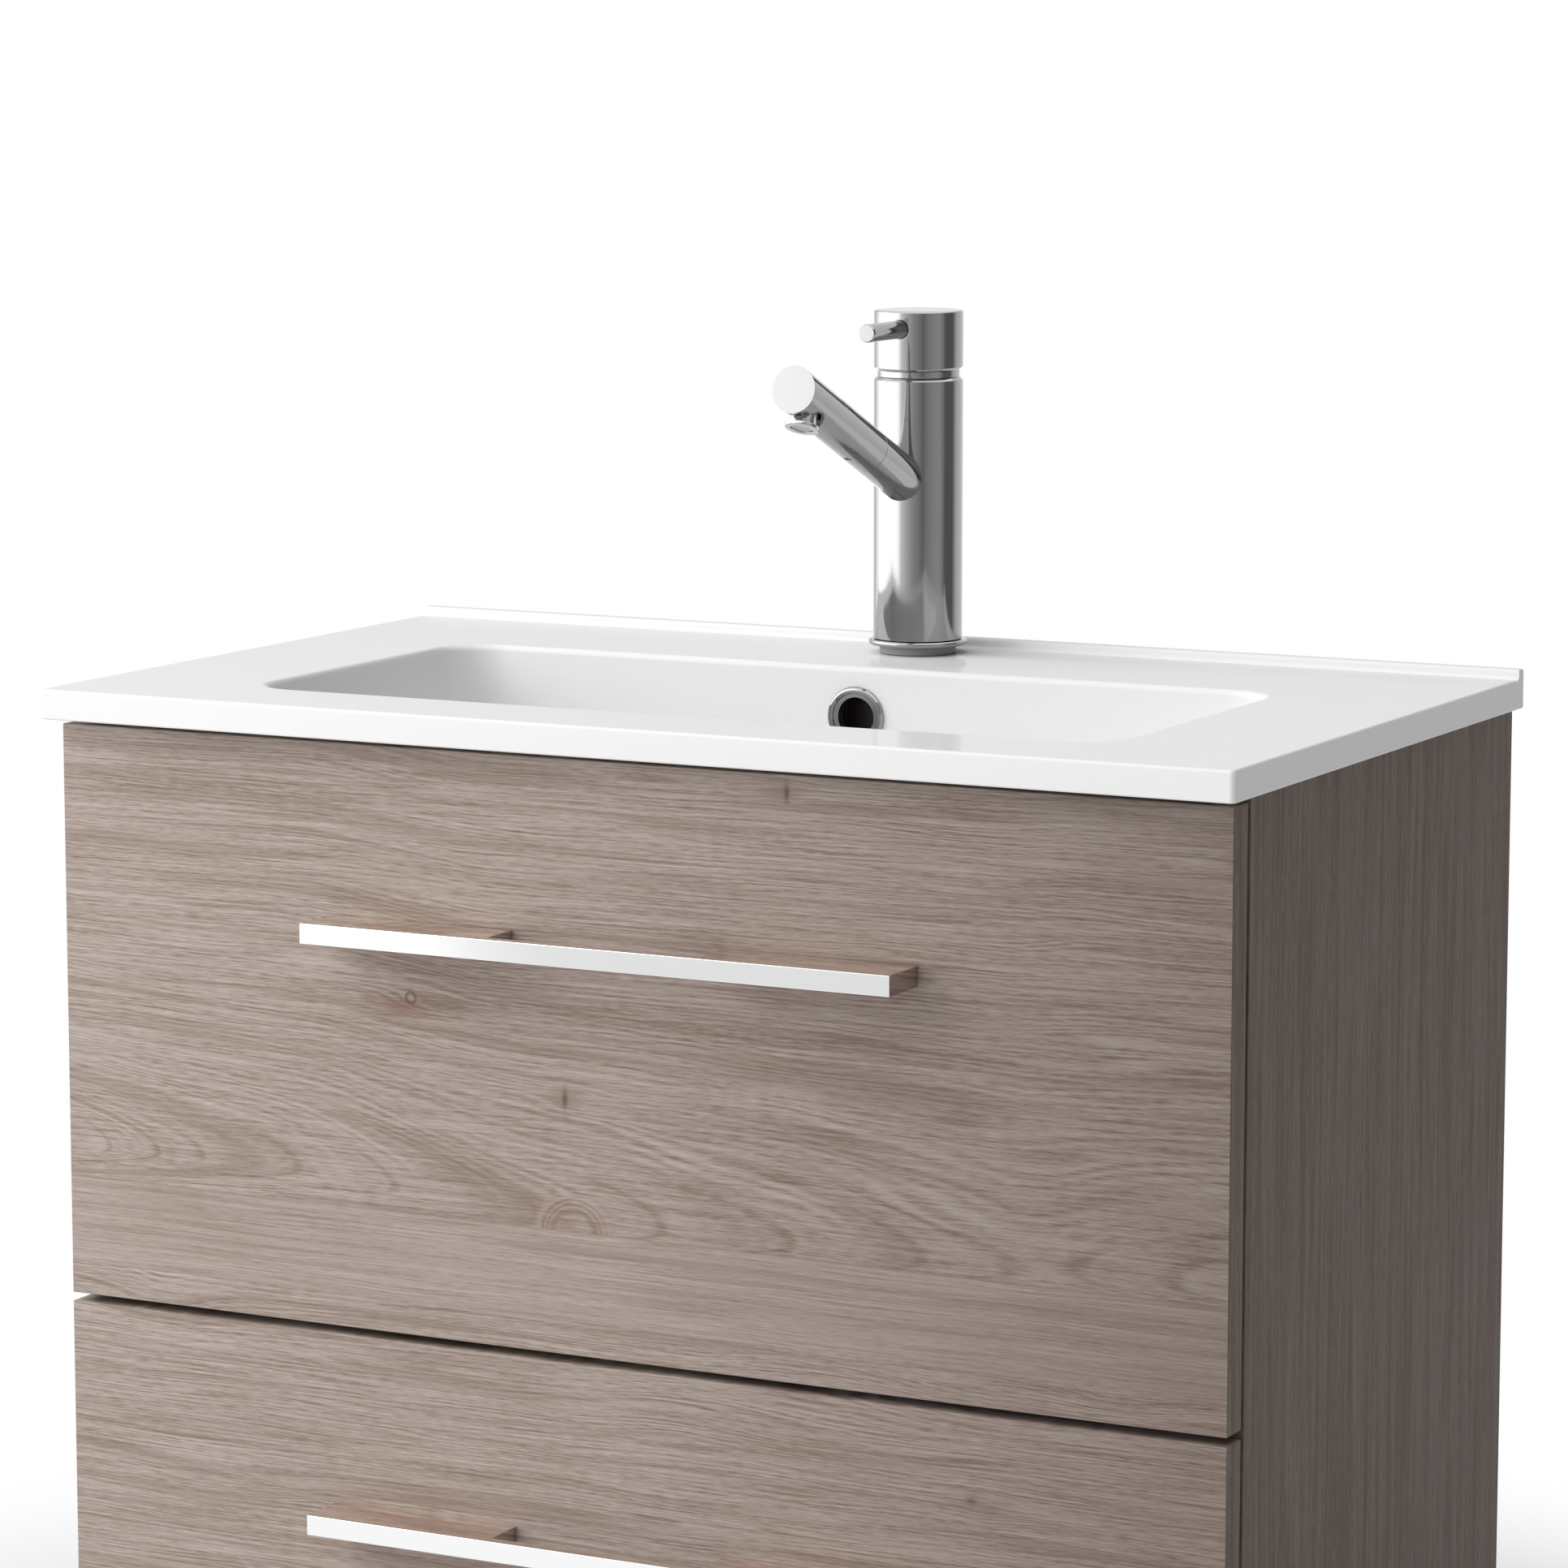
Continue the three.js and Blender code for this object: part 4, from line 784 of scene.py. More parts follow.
def add_hangers():
    low, high = corners("wall_rail")
    back, lip, knee = high.y, high.y - 5, low.z + 34
    section = soften([
        (back, low.z), (back, knee, 0.7), (lip, knee, 0.5), (lip, high.z), (lip - SHEET, high.z),
        (lip - SHEET, knee - SHEET, 0.7), (back - SHEET, knee - SHEET, 0.5), (back - SHEET, low.z),
    ])
    mesh = extruded_mesh(section, low.x, high.x, "x")
    slots = [
        box_mesh((x - 9, back - 6, low.z + 13), (x + 9, back + 3, low.z + 20), 3.2, 4)
        for x in (-220, -110, 0, 110, 220)
    ]
    dress("wall_rail", "strip", boolean(mesh, slots), STEEL)
    for side in ("left", "right"):
        node = "hanger_" + side
        dress(node, "block", own_mesh(node), STEEL, bevel=0.5)
        low, high = corners(node)
        places = [((low.x + high.x) / 2, low.y, low.z + rise) for rise in (9, 30)]
        screws(node + "_screws", places, (0, -1, 0), 3.2, "cabinet")


def add_runner(level, side, sign):
    node = level + "_cabinet_runner_" + side
    low, high = corners(node)
    wall, foot, sheet = high.x if sign > 0 else low.x, low.z, sign * SHEET
    inner, rise, hole_z = wall - sign * 26, 34, foot + 24
    section = soften([
        (wall, foot, 1.6), (wall, foot + rise), (wall - sheet, foot + rise),
        (wall - sheet, foot + SHEET, 0.6), (inner + sheet, foot + SHEET, 0.6),
        (inner + sheet, foot + 5), (inner, foot + 5), (inner, foot, 1.4),
    ])
    mesh = extruded_mesh(section, low.y, high.y, "y")

    def along(share):
        return low.y + (high.y - low.y) * share

    drills = [
        shifted(rod_mesh(2.6, -4, 4, 24), wall, along(share), hole_z, TO_RIGHT)
        for share in (0.26, 0.58, 0.9)
    ]
    dress(node, "rail", boolean(mesh, drills), STEEL)
    heads = [(wall - sheet, along(share), hole_z) for share in (0.1, 0.42, 0.74)]
    screws(node + "_screws", heads, (-sign, 0, 0), 3.4, "cabinet")


# Drawers
def add_handle(level):
    node, body = level + "_handle", level + "_drawer"
    low, high = corners(node)
    grip, bar = 54.5, 5.5
    outline = [
        (low.x, low.y), (high.x, low.y), (high.x, high.y), (grip, high.y), (grip, low.y + bar),
        (-grip, low.y + bar), (-grip, high.y), (low.x, high.y),
    ]
    mesh = extruded_mesh(outline, low.z, high.z, "z")
    handle = dress(node, "bar", mesh, [HANDLE, HANDLE_TOP_REFLECTION, HANDLE_END_SHADE], body, bevel=0.35)
    for face in handle.data.polygons:
        # Front faces plain chrome; the ends with painted shade; the rest with the painted wood
        # reflection
        face.material_index = 0 if face.normal.y < -0.9 else 2 if abs(face.normal.x) > 0.9 else 1
    back, z = corners(level + "_front")[1].y, (low.z + high.z) / 2
    screws(node + "_screws", [(x, back, z) for x in (-100, 100)], (0, 1, 0), 4.2, body)


def add_slide(level, side):
    node = level + "_slide_" + side
    low, high = corners(node)
    left, right, roof = low.x + SHEET, high.x - SHEET, high.z - SHEET
    section = soften([
        (low.x, low.z), (low.x, high.z, 1.4), (high.x, high.z, 1.4), (high.x, low.z),
        (right, low.z), (right, roof, 0.6), (left, roof, 0.6), (left, low.z),
    ])
    dress(node, "channel", extruded_mesh(section, low.y, high.y, "y"), STEEL, level + "_drawer")


def add_drawer(level):
    body = level + "_drawer"
    add_panel(level + "_front", "panel", [WOOD_FRONT, WOOD_SIDE], 0.55, [LEFT, RIGHT], body)
    add_handle(level)
    for side, sign in WALL_SIDES:
        add_panel(level + "_side_" + side, "board", [BOARD, CHIPBOARD], 0.5, [BACK], body)
        add_slide(level, side)
        add_bracket(level, side, sign)
        add_bumpers(level, side, sign)
    back = "_back_surround" if level == "upper" else "_back"
    for node, bevel in ((level + "_bottom", 0.4), (level + back, 0.5)):
        dress(node, "board", own_mesh(node), BOARD, body, bevel=bevel)


def add_bracket(level, side, sign):
    """A folded steel angle that joins the drawer's side to its front, with four screws."""
    low, high = corners(level + "_side_" + side)
    inner = low.x if sign > 0 else high.x
    z0, z1 = low.z + 26, low.z + 66
    if z1 > high.z - 8:
        z0, z1 = high.z - 52, high.z - 12
    sheet, leg = 1.2, 16.0
    y0 = max(corners(level + "_front")[1].y, low.y) + 0.02
    section = soften([
        (inner, y0, 1.0), (inner, y0 + leg), (inner - sign * sheet, y0 + leg),
        (inner - sign * sheet, y0 + sheet, 0.8), (inner - sign * leg, y0 + sheet),
        (inner - sign * leg, y0),
    ])
    name, body = level + "_bracket_" + side, level + "_drawer"
    piece(name, extruded_mesh(section, z0, z1, "z"), STEEL, body)
    for wall, x, y, facing in (
        ("front", inner - sign * (leg * 0.6), y0 + sheet, (0, 1, 0)),
        ("side", inner - sign * sheet, y0 + leg * 0.62, (-sign, 0, 0)),
    ):
        places = [(x, y, z) for z in (z0 + 9, z1 - 9)]
        screws(name + "_" + wall + "_screws", places, facing, 2.6, body)


def add_bumpers(level, side, sign):
    """Two soft pads inside the front, where it meets the cabinet's side."""
    low, high = corners(level + "_front")
    pads = []
    for z in (low.z + 14, high.z - 40):
        pad = lathe([(0, 0), (4, 0), (3.6, 1.7), (0, 2.1)], 32, 0.5)
        pads.append(shifted(pad, sign * 292, high.y, z, TO_WALL))
    piece(level + "_bumpers_" + side, joined(pads), PLASTIC, level + "_drawer")


# Basin
def basin_outline(inset, z):
    radius = max(0.6, 2.5 - inset / 2)
    return rounded_ring(BASIN_HALF[0] - inset, BASIN_HALF[1] - inset, radius, BASIN_CENTRE, z, 6)


def slab_mesh():
    foot, top = 0.9, 1.6
    rings = [basin_outline(foot * (1 - s), SLAB_FOOT + foot * (1 - c)) for s, c in quarter(4)]
    rings += [basin_outline(top * (1 - c), DECK - top * (1 - s)) for s, c in quarter(8)]
    return lofted_mesh(rings)


def upstand_mesh():
    """The low kerb along the wall, rounded on top and filleted to the deck."""
    back, top, low = BASIN_HIGH.y, BASIN_HIGH.z, DECK - 3.2
    face, fillet, end = back - 8.3, 1.8, 1.3
    section = [(back, low), (back, top - 0.8), (back - 0.25, top - 0.25), (back - 0.8, top)]
    section += [(face + fillet * (1 - s), top - fillet * (1 - c)) for s, c in quarter(8)]
    section += [(face - fillet * (1 - c), DECK + fillet * (1 - s)) for s, c in quarter(8)]
    section.append((face - fillet, low))
    kerb = extruded_mesh(section, -BASIN_HIGH.x, BASIN_HIGH.x, "x")
    # The ends follow the slab's rounded corners
    rings = [basin_outline(0, low - 4), basin_outline(0, top - end)]
    rings += [basin_outline(end * (1 - c), top - end * (1 - s)) for s, c in quarter(6, 1)]
    rings.append(basin_outline(end, top + 3))
    return boolean(kerb, [lofted_mesh(rings)], "INTERSECT")


def bowl_profile():
    """(how far in from the rim, z), from the floor's edge up to the deck."""
    floor, slope, foot, lip = BOWL_FLOOR + 4, 6, 28, 3
    wall = [(slope + foot * (1 - s), floor + foot * (1 - c)) for s, c in quarter(14)]
    wall += [(0.9, DECK - 48), (0.25, DECK - 42), (0, DECK - 34)]
    return wall + [(-lip * (1 - c), DECK - lip * (1 - s)) for s, c in quarter(10)]


def bowl_ring(inset, z, radius=26):
    """Round the bowl, with points along its sides too."""
    steps, along_x, along_y = 14, 21, 9
    half_x, half_y = BOWL_HALF
    base = rounded_ring(half_x - inset, half_y - inset, radius, BOWL_CENTRE, z, steps)
    ring = []
    for i, point in enumerate(base):
        after = base[(i + 1) % len(base)]
        ring.append(point)
        if (i + 1) % (steps + 1):
            continue
        extra = along_x if abs(after[0] - point[0]) > abs(after[1] - point[1]) else along_y
        for k in range(1, extra + 1):
            share = k / (extra + 1)
            ring.append(tuple(p + (q - p) * share for p, q in zip(point, after)))
    return ring


def bowl_shell(grow):
    """The outside of the bowl's wall."""
    wall = [(inset, z) for inset, z in bowl_profile() if inset >= 0]
    rings = [bowl_ring(inset - grow, min(z - grow, DECK - 10), 26 + grow) for inset, z in wall]
    return lofted_mesh(rings + [bowl_ring(-grow, DECK - 3, 26 + grow)])


def bowl_hollow():
    """The room in the bowl. Its floor falls a little to the outlet."""
    rings = [bowl_ring(inset, z) for inset, z in bowl_profile()]
    rings.append(bowl_ring(-3, DECK + 3))
    drain, steps, outlet, fall = [], 9, 33, 4
    for i in range(steps):
        share = i / steps
        ring = []
        for x, y, z in rings[0]:
            turn = math.atan2(y - BOWL_CENTRE[1], x - BOWL_CENTRE[0])
            near_x = BOWL_CENTRE[0] + outlet * math.cos(turn)
            near_y = BOWL_CENTRE[1] + outlet * math.sin(turn)
            ring.append((
                near_x + (x - near_x) * share, near_y + (y - near_y) * share,
                BOWL_FLOOR + fall * share ** 1.25,
            ))
        drain.append(ring)
    return lofted_mesh(drain + rings)


def at_bowl(mesh):
    return shifted(mesh, *BOWL_CENTRE)


def at_overflow(mesh, turn):
    return shifted(mesh, 0, BOWL_BACK, OVERFLOW_Z, turn)


def duct_meshes(wall):
    """The overflow's duct, down behind the bowl and forward under it; with wall its outside."""
    near, far = BOWL_BACK + 5 - wall, BOWL_BACK + 15 + wall
    half, low, top = 13 + wall, BOWL_FLOOR - 15 - wall, OVERFLOW_Z + 11.2 + wall
    edge = 2.0 if wall else 0.5
    return [
        box_mesh((-half, near, low), (half, far, top), edge, 3),
        box_mesh((-half, BOWL_CENTRE[1], low), (half, far, BOWL_FLOOR - 5 + wall), edge, 3),
    ]


def add_basin():
    rim, half = 16, 305
    recess = box_mesh(
        (-half + rim, BASIN_LOW.y + rim, SLAB_FOOT - 3), (half - rim, BASIN_HIGH.y - rim, DECK - 9),
        2.5, 4,
    )
    body = boolean(slab_mesh(), [recess])
    boss = at_bowl(lathe([
        (0, BOWL_FLOOR), (37, BOWL_FLOOR), (37, BOWL_FLOOR - 24), (0, BOWL_FLOOR - 24),
    ], 72, 2))
    body = boolean(body, [upstand_mesh(), bowl_shell(9), boss, *duct_meshes(5)], "UNION")
    flange = at_bowl(rod_mesh(33, BOWL_FLOOR - 3, BOWL_FLOOR + 2, 96))
    outlet = at_bowl(rod_mesh(23, BOWL_FLOOR - 30, BOWL_FLOOR, 72))
    overflow = at_overflow(rod_mesh(11.2, -2, 10), TO_WALL)
    tap_hole = shifted(rod_mesh(17.5, DECK - 20, DECK + 2), *TAP)
    body = boolean(body, [bowl_hollow(), flange, outlet, *duct_meshes(0), overflow, tap_hole])
    obj = dress("basin", "ceramic", body, [CERAMIC, BISQUE, DUCT_PAINTED_SHADE], sharp=28)
    for face in obj.data.polygons:
        x, y, z = face.center / MM
        if face.normal.z < -0.9 and z < SLAB_FOOT + 0.2 and face.area > 1e-3:
            face.material_index = 1
        # Painted shade: the duct's inner faces are near-black, for the shade inside the overflow
        if abs(x) < 13.6 and BOWL_BACK + 4.5 < y < BOWL_BACK + 15.5 and z < DECK - 13:
            face.material_index = 2


def add_overflow_ring():
    ring = lathe([
        (9.6, -5, 0.2), (9.6, 0.9, 0.5), (11.7, 1.5, 0.4), (12.1, 2.3, 0.5), (13.2, 2.8, 1.2),
        (14.4, 2.3, 1.0), (15, 1.3, 0.6), (15, 0.25, 0.1), (10.95, 0.25, 0.2), (10.95, -5, 0.2),
    ], 96, 0.3, 5)
    dress("overflow_ring", "turned", at_overflow(ring, TO_FRONT))


# Waste and trap
def ribbed(count, depth, foot, top, radius):
    """Grip ribs round a turned piece between two heights, where it reaches a radius."""
    def wobble(r, z, turn):
        if r < radius or not foot < z < top:
            return r
        return r - depth * (0.5 - 0.5 * math.cos(count * turn)) ** 2
    return wobble


def add_waste():
    under, end, bore = BOWL_FLOOR - 2.4, BOWL_FLOOR - 68, BOWL_FLOOR - 38.25
    body = lathe([
        (17.2, end), (20.9, end, 0.5), (20.9, under), (31.5, under), (31.5, BOWL_FLOOR, 0.8),
        (24, BOWL_FLOOR, 0.8), (18, under - 2.4, 0.8), (18, bore, 0.1), (17.2, bore, 0.1),
    ], 96, 0.3)
    low, high = BOWL_FLOOR - 15, BOWL_FLOOR - 5
    slots = [box_mesh((-x, -y, low), (x, y, high), 2, 3) for x, y in ((23, 7), (7, 23))]
    dress("waste_body", "turned", at_bowl(boolean(body, slots)))
    dress("waste_guide", "cross", own_mesh("waste_guide"), BRASS, bevel=0.25)
    add_plug()
    foot, top = BOWL_FLOOR - 28.25, BOWL_FLOOR - 24.25
    seal = lathe([(21.2, foot), (30, foot), (30, top), (21.2, top)], 96, 0.9)
    dress("waste_seal", "ring", at_bowl(seal), RUBBER)
    dress("waste_nut", "octagon", own_mesh("waste_nut"), BRASS, bevel=0.6)
    add_trap(end)


def add_plug():
    seat, radius, steps = BOWL_FLOOR + 0.25, 31, 12
    plug = [(0, seat - 46), (3, seat - 46, 0.6), (3, seat - 9, 0.8), (16.5, seat - 9, 0.6)]
    plug += [(16.5, seat, 0.3), (radius, seat, 0.5), (radius, seat + 2.6, 1.1)]
    # The crown falls off towards the rim
    for i in range(1, steps + 1):
        share = 1 - i / steps
        plug.append((radius * share * 0.97, seat + 4.8 - 2.2 * share ** 2))
    dress("drain_plug", "turned", at_bowl(lathe(plug, 128, 0)), CHROME, "plug", sharp=40)


# Gaps between the trap's pieces, the pipes' flanges and the nuts' lips
JOINT, FLANGE, LIP = 0.25, 1.8, 3.5


def trap_nut(foot, mouth, sign):
    """A ribbed nut whose mouth is 20 mm from its foot, towards sign."""
    profile = [
        (16.3, foot), (25.5, foot, 1.2), (25.5, foot + sign * 1.6, 0), (25.5, foot + sign * 15.8, 0),
        (25.5, foot + sign * 20, 1.2), (mouth, foot + sign * 20), (mouth, foot + sign * 3.5),
        (16.3, foot + sign * 3.5),
    ]
    ends = (foot + 1.5, foot + 16) if sign > 0 else (foot - 16, foot - 1.5)
    return lathe(profile[::sign], 192, wobble=ribbed(24, 0.9, *ends, 25))


def add_trap(end):
    """A bottle trap under the waste's end."""
    pipe_top, top = end - JOINT, end - 20
    shoulder, split = top - 10, top - 52
    nut = trap_nut(pipe_top - FLANGE - JOINT - LIP, 21.2, 1)
    dress("trap_inlet_nut", "turned", at_bowl(nut))
    pipe = lathe([
        (14.6, pipe_top - 100), (16, pipe_top - 100), (16, pipe_top - FLANGE, 0.5),
        (20.6, pipe_top - FLANGE), (20.6, pipe_top), (14.6, pipe_top),
    ], 80)
    dress("trap_inlet_pipe", "turned", at_bowl(pipe))
    branch_z = (shoulder + split) / 2
    add_trap_body(top, shoulder, split, branch_z)
    add_trap_cup(split - JOINT, split - 50)
    add_trap_outlet(branch_z)


def to_wall(mesh, z):
    """An upright piece, laid towards the wall at a height."""
    return shifted(mesh, 0, 0, z, TO_WALL)


def add_trap_body(top, shoulder, split, branch_z):
    body = lathe([
        (28.4, split, 0.3), (31, split, 0.6), (31, split + 3), (30.4, split + 4.2),
        (31, split + 5.4), (31, shoulder, 3.2), (21, shoulder + 2.6, 2.2), (21, top, 0.8),
        (16.3, top), (16.3, shoulder - 2.6), (28.4, shoulder - 2.6, 2),
    ])
    branch = to_wall(lathe([(0, 20), (18.5, 20), (18.5, 50, 0.6), (0, 50)], 72, 0), branch_z)
    body = boolean(body, [branch], "UNION")
    bore = to_wall(rod_mesh(14.6, 10, 52), branch_z)
    body = boolean(body, [bore, rod_mesh(28.4, split - 3, shoulder - 2.7, 96)])
    obj = dress("trap_body", "cast", at_bowl(body), weighted=False)
    centre, back = (*BOWL_CENTRE, branch_z), (0, 1, 0)
    round_normals(obj, [
        (centre, UP, 31), (centre, UP, 21), (centre, back, 18.5), (centre, back, 14.6),
    ])


def add_trap_cup(rim, foot):
    cup = lathe([
        (0, foot, 0), (8, foot, 0), (19, foot, 0), (31, foot + 12, 9), (31, foot + 16, 0),
        (31, foot + 18, 0), (31, rim - 8, 0), (31, rim - 6, 0), (31, rim, 0.7), (28.1, rim, 0.2),
        (28.1, rim + 6, 0.5), (25.5, rim + 6), (25.5, foot + 12, 6), (19, foot + 2.6, 4),
        (0, foot + 2.6, 0),
    ], 192, 0.4, 6, ribbed(16, 1.3, foot + 16, rim - 6, 29))
    dress("trap_cup", "turned", at_bowl(cup))


def add_trap_outlet(branch_z):
    wall, start = BASIN_HIGH.y - BOWL_CENTRE[1], 50 + JOINT
    pipe = lathe([
        (14.6, start), (18.2, start), (18.2, start + FLANGE), (16, start + FLANGE, 0.5), (16, wall),
        (14.6, wall),
    ], 80)
    dress("trap_outlet_pipe", "turned", at_bowl(to_wall(pipe, branch_z)))
    nut = trap_nut(start + FLANGE + JOINT + LIP, 18.8, -1)
    dress("trap_outlet_nut", "turned", at_bowl(to_wall(nut, branch_z)))
    flange = lathe([
        (16.3, wall - 8), (18.9, wall - 8, 0.5), (22, wall - 6.6, 3), (34, wall - 2.2, 2),
        (34, wall), (16.3, wall),
    ], 96, 0.4, 6)
    dress("wall_flange", "pressed", at_bowl(to_wall(flange, branch_z)))


# Mixer tap, with heights from the deck and the spout along its own axis
SPOUT_RISE = math.radians(23.7)
SPOUT_TURN = Matrix.Rotation(math.radians(90 - 23.7), 4, "X")
SPOUT_AXIS = (0, -math.cos(SPOUT_RISE), math.sin(SPOUT_RISE))
SPOUT_Z, SPOUT_RADIUS = 80, 11.2
SPOUT_FOOT = (*TAP, DECK + SPOUT_Z)
AERATOR, SET_SCREW = 133, 81
COLUMN_RADIUS, COLUMN_TOP = 22.1, 137.5
PIVOT, PIN_Z = 139.6, 22.2


def at_tap(mesh, z=0.0, turn=None):
    return shifted(mesh, *TAP, DECK + z, turn)


def at_spout(mesh):
    return at_tap(mesh, SPOUT_Z, SPOUT_TURN)


def under_spout(mesh, reach):
    """From an upright piece to one that points down from the spout's axis."""
    return at_spout(shifted(mesh, 0, 0, reach, TO_FRONT))


def add_mixer():
    gasket = lathe([(16.75, 0.25), (19, 0.25), (19, 4.25), (16.75, 4.25)], 96, 0.5)
    dress("mixer_gasket", "ring", at_tap(gasket), SEAL)
    foot, top = 4.5, 7.3
    ring = lathe([
        (16.75, foot, 0.1), (24.5, foot, 1.2), (24.5, top, 1.3), (16.75, top, 0.1),
    ], 128, 0.2, 6)
    dress("mixer_base_ring", "turned", at_tap(ring))
    add_mixer_body(top + 0.25)
    add_spout()
    add_aerator()
    add_neck()
    add_cap()
    add_pin()
    add_inner_parts()
    add_stud()


def add_mixer_body(foot):
    radius, top, edge = COLUMN_RADIUS, COLUMN_TOP, 1.4
    column = lathe([
        (0, -6, 0), (16.5, -6, 0.4), (16.5, foot, 0.1), (radius, foot, 0.35),
        (radius, top - edge, 0.35), (radius - edge, top, 0.35), (0, top, 0),
    ], 160)
    stub = lathe([(0, 0), (SPOUT_RADIUS, 0), (SPOUT_RADIUS, 63, 0.12), (0, 63)], 128, 0, 3)
    spigot = rod_mesh(9, 0, 95, 96)
    body = boolean(at_tap(column), [at_spout(stub), at_spout(spigot)], "UNION")
    bore = at_tap(rod_mesh(17.5, top - 42.5, top + 3, 96))
    body = boolean(body, [bore, at_spout(rod_mesh(6, 0, 98, 48))])
    obj = dress("mixer_body", "turned", body, weighted=False)
    round_normals(obj, [(SPOUT_FOOT, UP, r) for r in (radius, 16.5, 17.5)] + [
        (SPOUT_FOOT, SPOUT_AXIS, r) for r in (SPOUT_RADIUS, 9, 6)
    ])


def add_spout():
    foot, length, radius, bore = 63.3, 148.4, SPOUT_RADIUS, 9.3
    tip = length + radius
    tube = lathe([(0, foot), (radius, foot, 0.12), (radius, tip), (0, tip)], 160, 0, 3)
    lean = Matrix.Rotation(math.radians(12), 4, "X")
    tube = boolean(tube, [shifted(box_mesh((-60, -60, 0), (60, 60, 60)), 0, 0, length, lean)])
    tools = [rod_mesh(bore, foot - 2, 95.3, 96), rod_mesh(6, 93, 138, 48)]
    for own, z0, reach in ((6.7, 0, AERATOR), (9.6, 4, AERATOR), (1.9, 0, SET_SCREW)):
        tools.append(shifted(rod_mesh(own, z0, radius + 2, 72), 0, 0, reach, TO_FRONT))
    tube = at_spout(boolean(tube, tools))
    obj = dress("spout", "tube", tube, [CHROME, PLASTIC], bevel=0.18, weighted=False)
    round_normals(obj, [(SPOUT_FOOT, SPOUT_AXIS, radius), (SPOUT_FOOT, SPOUT_AXIS, bore)])
    # Painted light: the recess in the spout's tip is lined with pale plastic, lifting the shade inside
    # it
    axis = Vector(SPOUT_AXIS)
    for face in obj.data.polygons:
        away = face.center / MM - Vector(SPOUT_FOOT)
        along = away.dot(axis)
        if along > 100 and (away - axis * along).length < radius - 0.3 and face.normal.y > -0.8:
            face.material_index = 1


def add_aerator():
    housing = lathe([
        (4.3, 0.3, 0), (6.4, 0.3, 0.3), (6.4, 12.5, 0.2), (8.4, 12.5, 0.5), (8.4, 14.7, 0.6),
        (5.4, 14.7, 0.3), (5.4, 7.6), (4.3, 7.6),
    ], 96, 0.1)
    # Painted light: the housing takes the brighter copy of the chrome
    dress("aerator_housing", "turned", under_spout(housing, AERATOR), CHROME_PAINTED_LIGHT)
    dress("aerator_core", "grid", own_mesh("aerator_core"), PLASTIC, weighted=False)
    screw = lathe([
        (0, 9.3, 0), (1.6, 9.3, 0.2), (1.6, 10.9, 0.2), (0.8, 10.9, 0), (0.75, 10.2, 0), (0, 10.2, 0),
    ], 48, 0.1)
    dress("spout_set_screw", "turned", under_spout(screw, SET_SCREW), STEEL)


def add_neck():
    """The dome on which the cap tilts."""
    radius, foot, top, steps = 20.4, 137.75 - PIVOT, 7, 14
    low, high = math.asin(foot / radius), math.asin(top / radius)
    turns = [low + (high - low) * i / steps for i in range(steps + 1)]
    arc = [(radius * math.cos(turn), radius * math.sin(turn)) for turn in turns]
    dome = lathe([(13, foot, 0.1), *arc, (13, top, 0.1)], 128, 0)
    dress("neck_dome", "turned", at_tap(dome, PIVOT))


def add_cap():
    """The lever's cap, whose lower edge slants."""
    radius, turns, top, edge = COLUMN_RADIUS, round_turns(160), 29.8, 1

    def ring(r, z, tilt=math.tan(math.radians(2))):
        return [(r * math.cos(t), r * math.sin(t), z + tilt * (r * math.sin(t))) for t in turns]

    rings = [ring(radius - 1.6, 1.5), ring(radius - 1.42, 1.56), ring(radius - 0.12, 2.9)]
    rings += [ring(radius, 3.15), ring(radius, 9, 0.0), ring(radius, top, 0.0)]
    rings += [ring(radius - edge * (1 - c), top + edge * s, 0.0) for s, c in quarter(6, 1)]
    boss = turned_mesh([(0, 7), (6.5, 7), (6.5, 15), (0, 15)], 64)
    cap = boolean(boolean(lofted_mesh(rings), [rod_mesh(20.8, -21, 13.5, 128)]), [boss], "UNION")
    pin_hole = shifted(rod_mesh(4.8, 15.75, 24, 72), 0, 0, PIN_Z, TO_FRONT)
    cap = at_tap(boolean(cap, [rod_mesh(3.85, 0, 20.25, 48), pin_hole]), PIVOT)
    obj = dress("lever_cap", "turned", cap, CHROME, "lever", weighted=False)
    pivot = (*TAP, DECK + PIVOT)
    round_normals(obj, [(pivot, UP, radius), (pivot, UP, 20.8)])


def add_pin():
    pin = lathe([
        (0, 16, 0), (4.5, 16, 0.4), (4.5, 57.4, 0.9), (4.1, 58.3, 0.3), (0, 58.3, 0),
    ], 96, 0.2, 5)
    pin = at_tap(shifted(pin, 0, 0, PIN_Z, TO_FRONT), PIVOT)
    dress("lever_pin", "turned", pin, CHROME, "lever")


def add_inner_parts():
    """The tap's hidden parts in their CAD shapes, with the edges of some rounded."""
    for node, material, body, bevel in (
        ("spindle", STEEL, "lever", None), ("spindle_carrier", BRASS, "lever_swivel", None),
        ("mixing_cartridge", PLASTIC, "cabinet", None), ("cartridge_nut", BRASS, "cabinet", None),
        ("fixing_washer", STEEL, "cabinet", 0.4), ("fixing_nut", BRASS, "cabinet", 0.5),
    ):
        dress(node, "part", own_mesh(node), material, body, bevel=bevel)


def add_stud():
    low, high = corners("fixing_stud")
    root, crest, pitch = 3.45, 4.0, 1.25
    profile, z = [(0, low.z), (3.2, low.z)], low.z + 0.8
    while z + pitch < high.z - 1:
        profile += [(crest, z), (crest, z + 0.2), (root, z + 0.62), (root, z + 0.82)]
        z += pitch
    profile += [(3.2, high.z), (0, high.z)]
    stud = shifted(lathe(profile, 48, 0), TAP[0], TAP[1] - 9)
    dress("fixing_stud", "threaded", stud, STEEL, weighted=False)


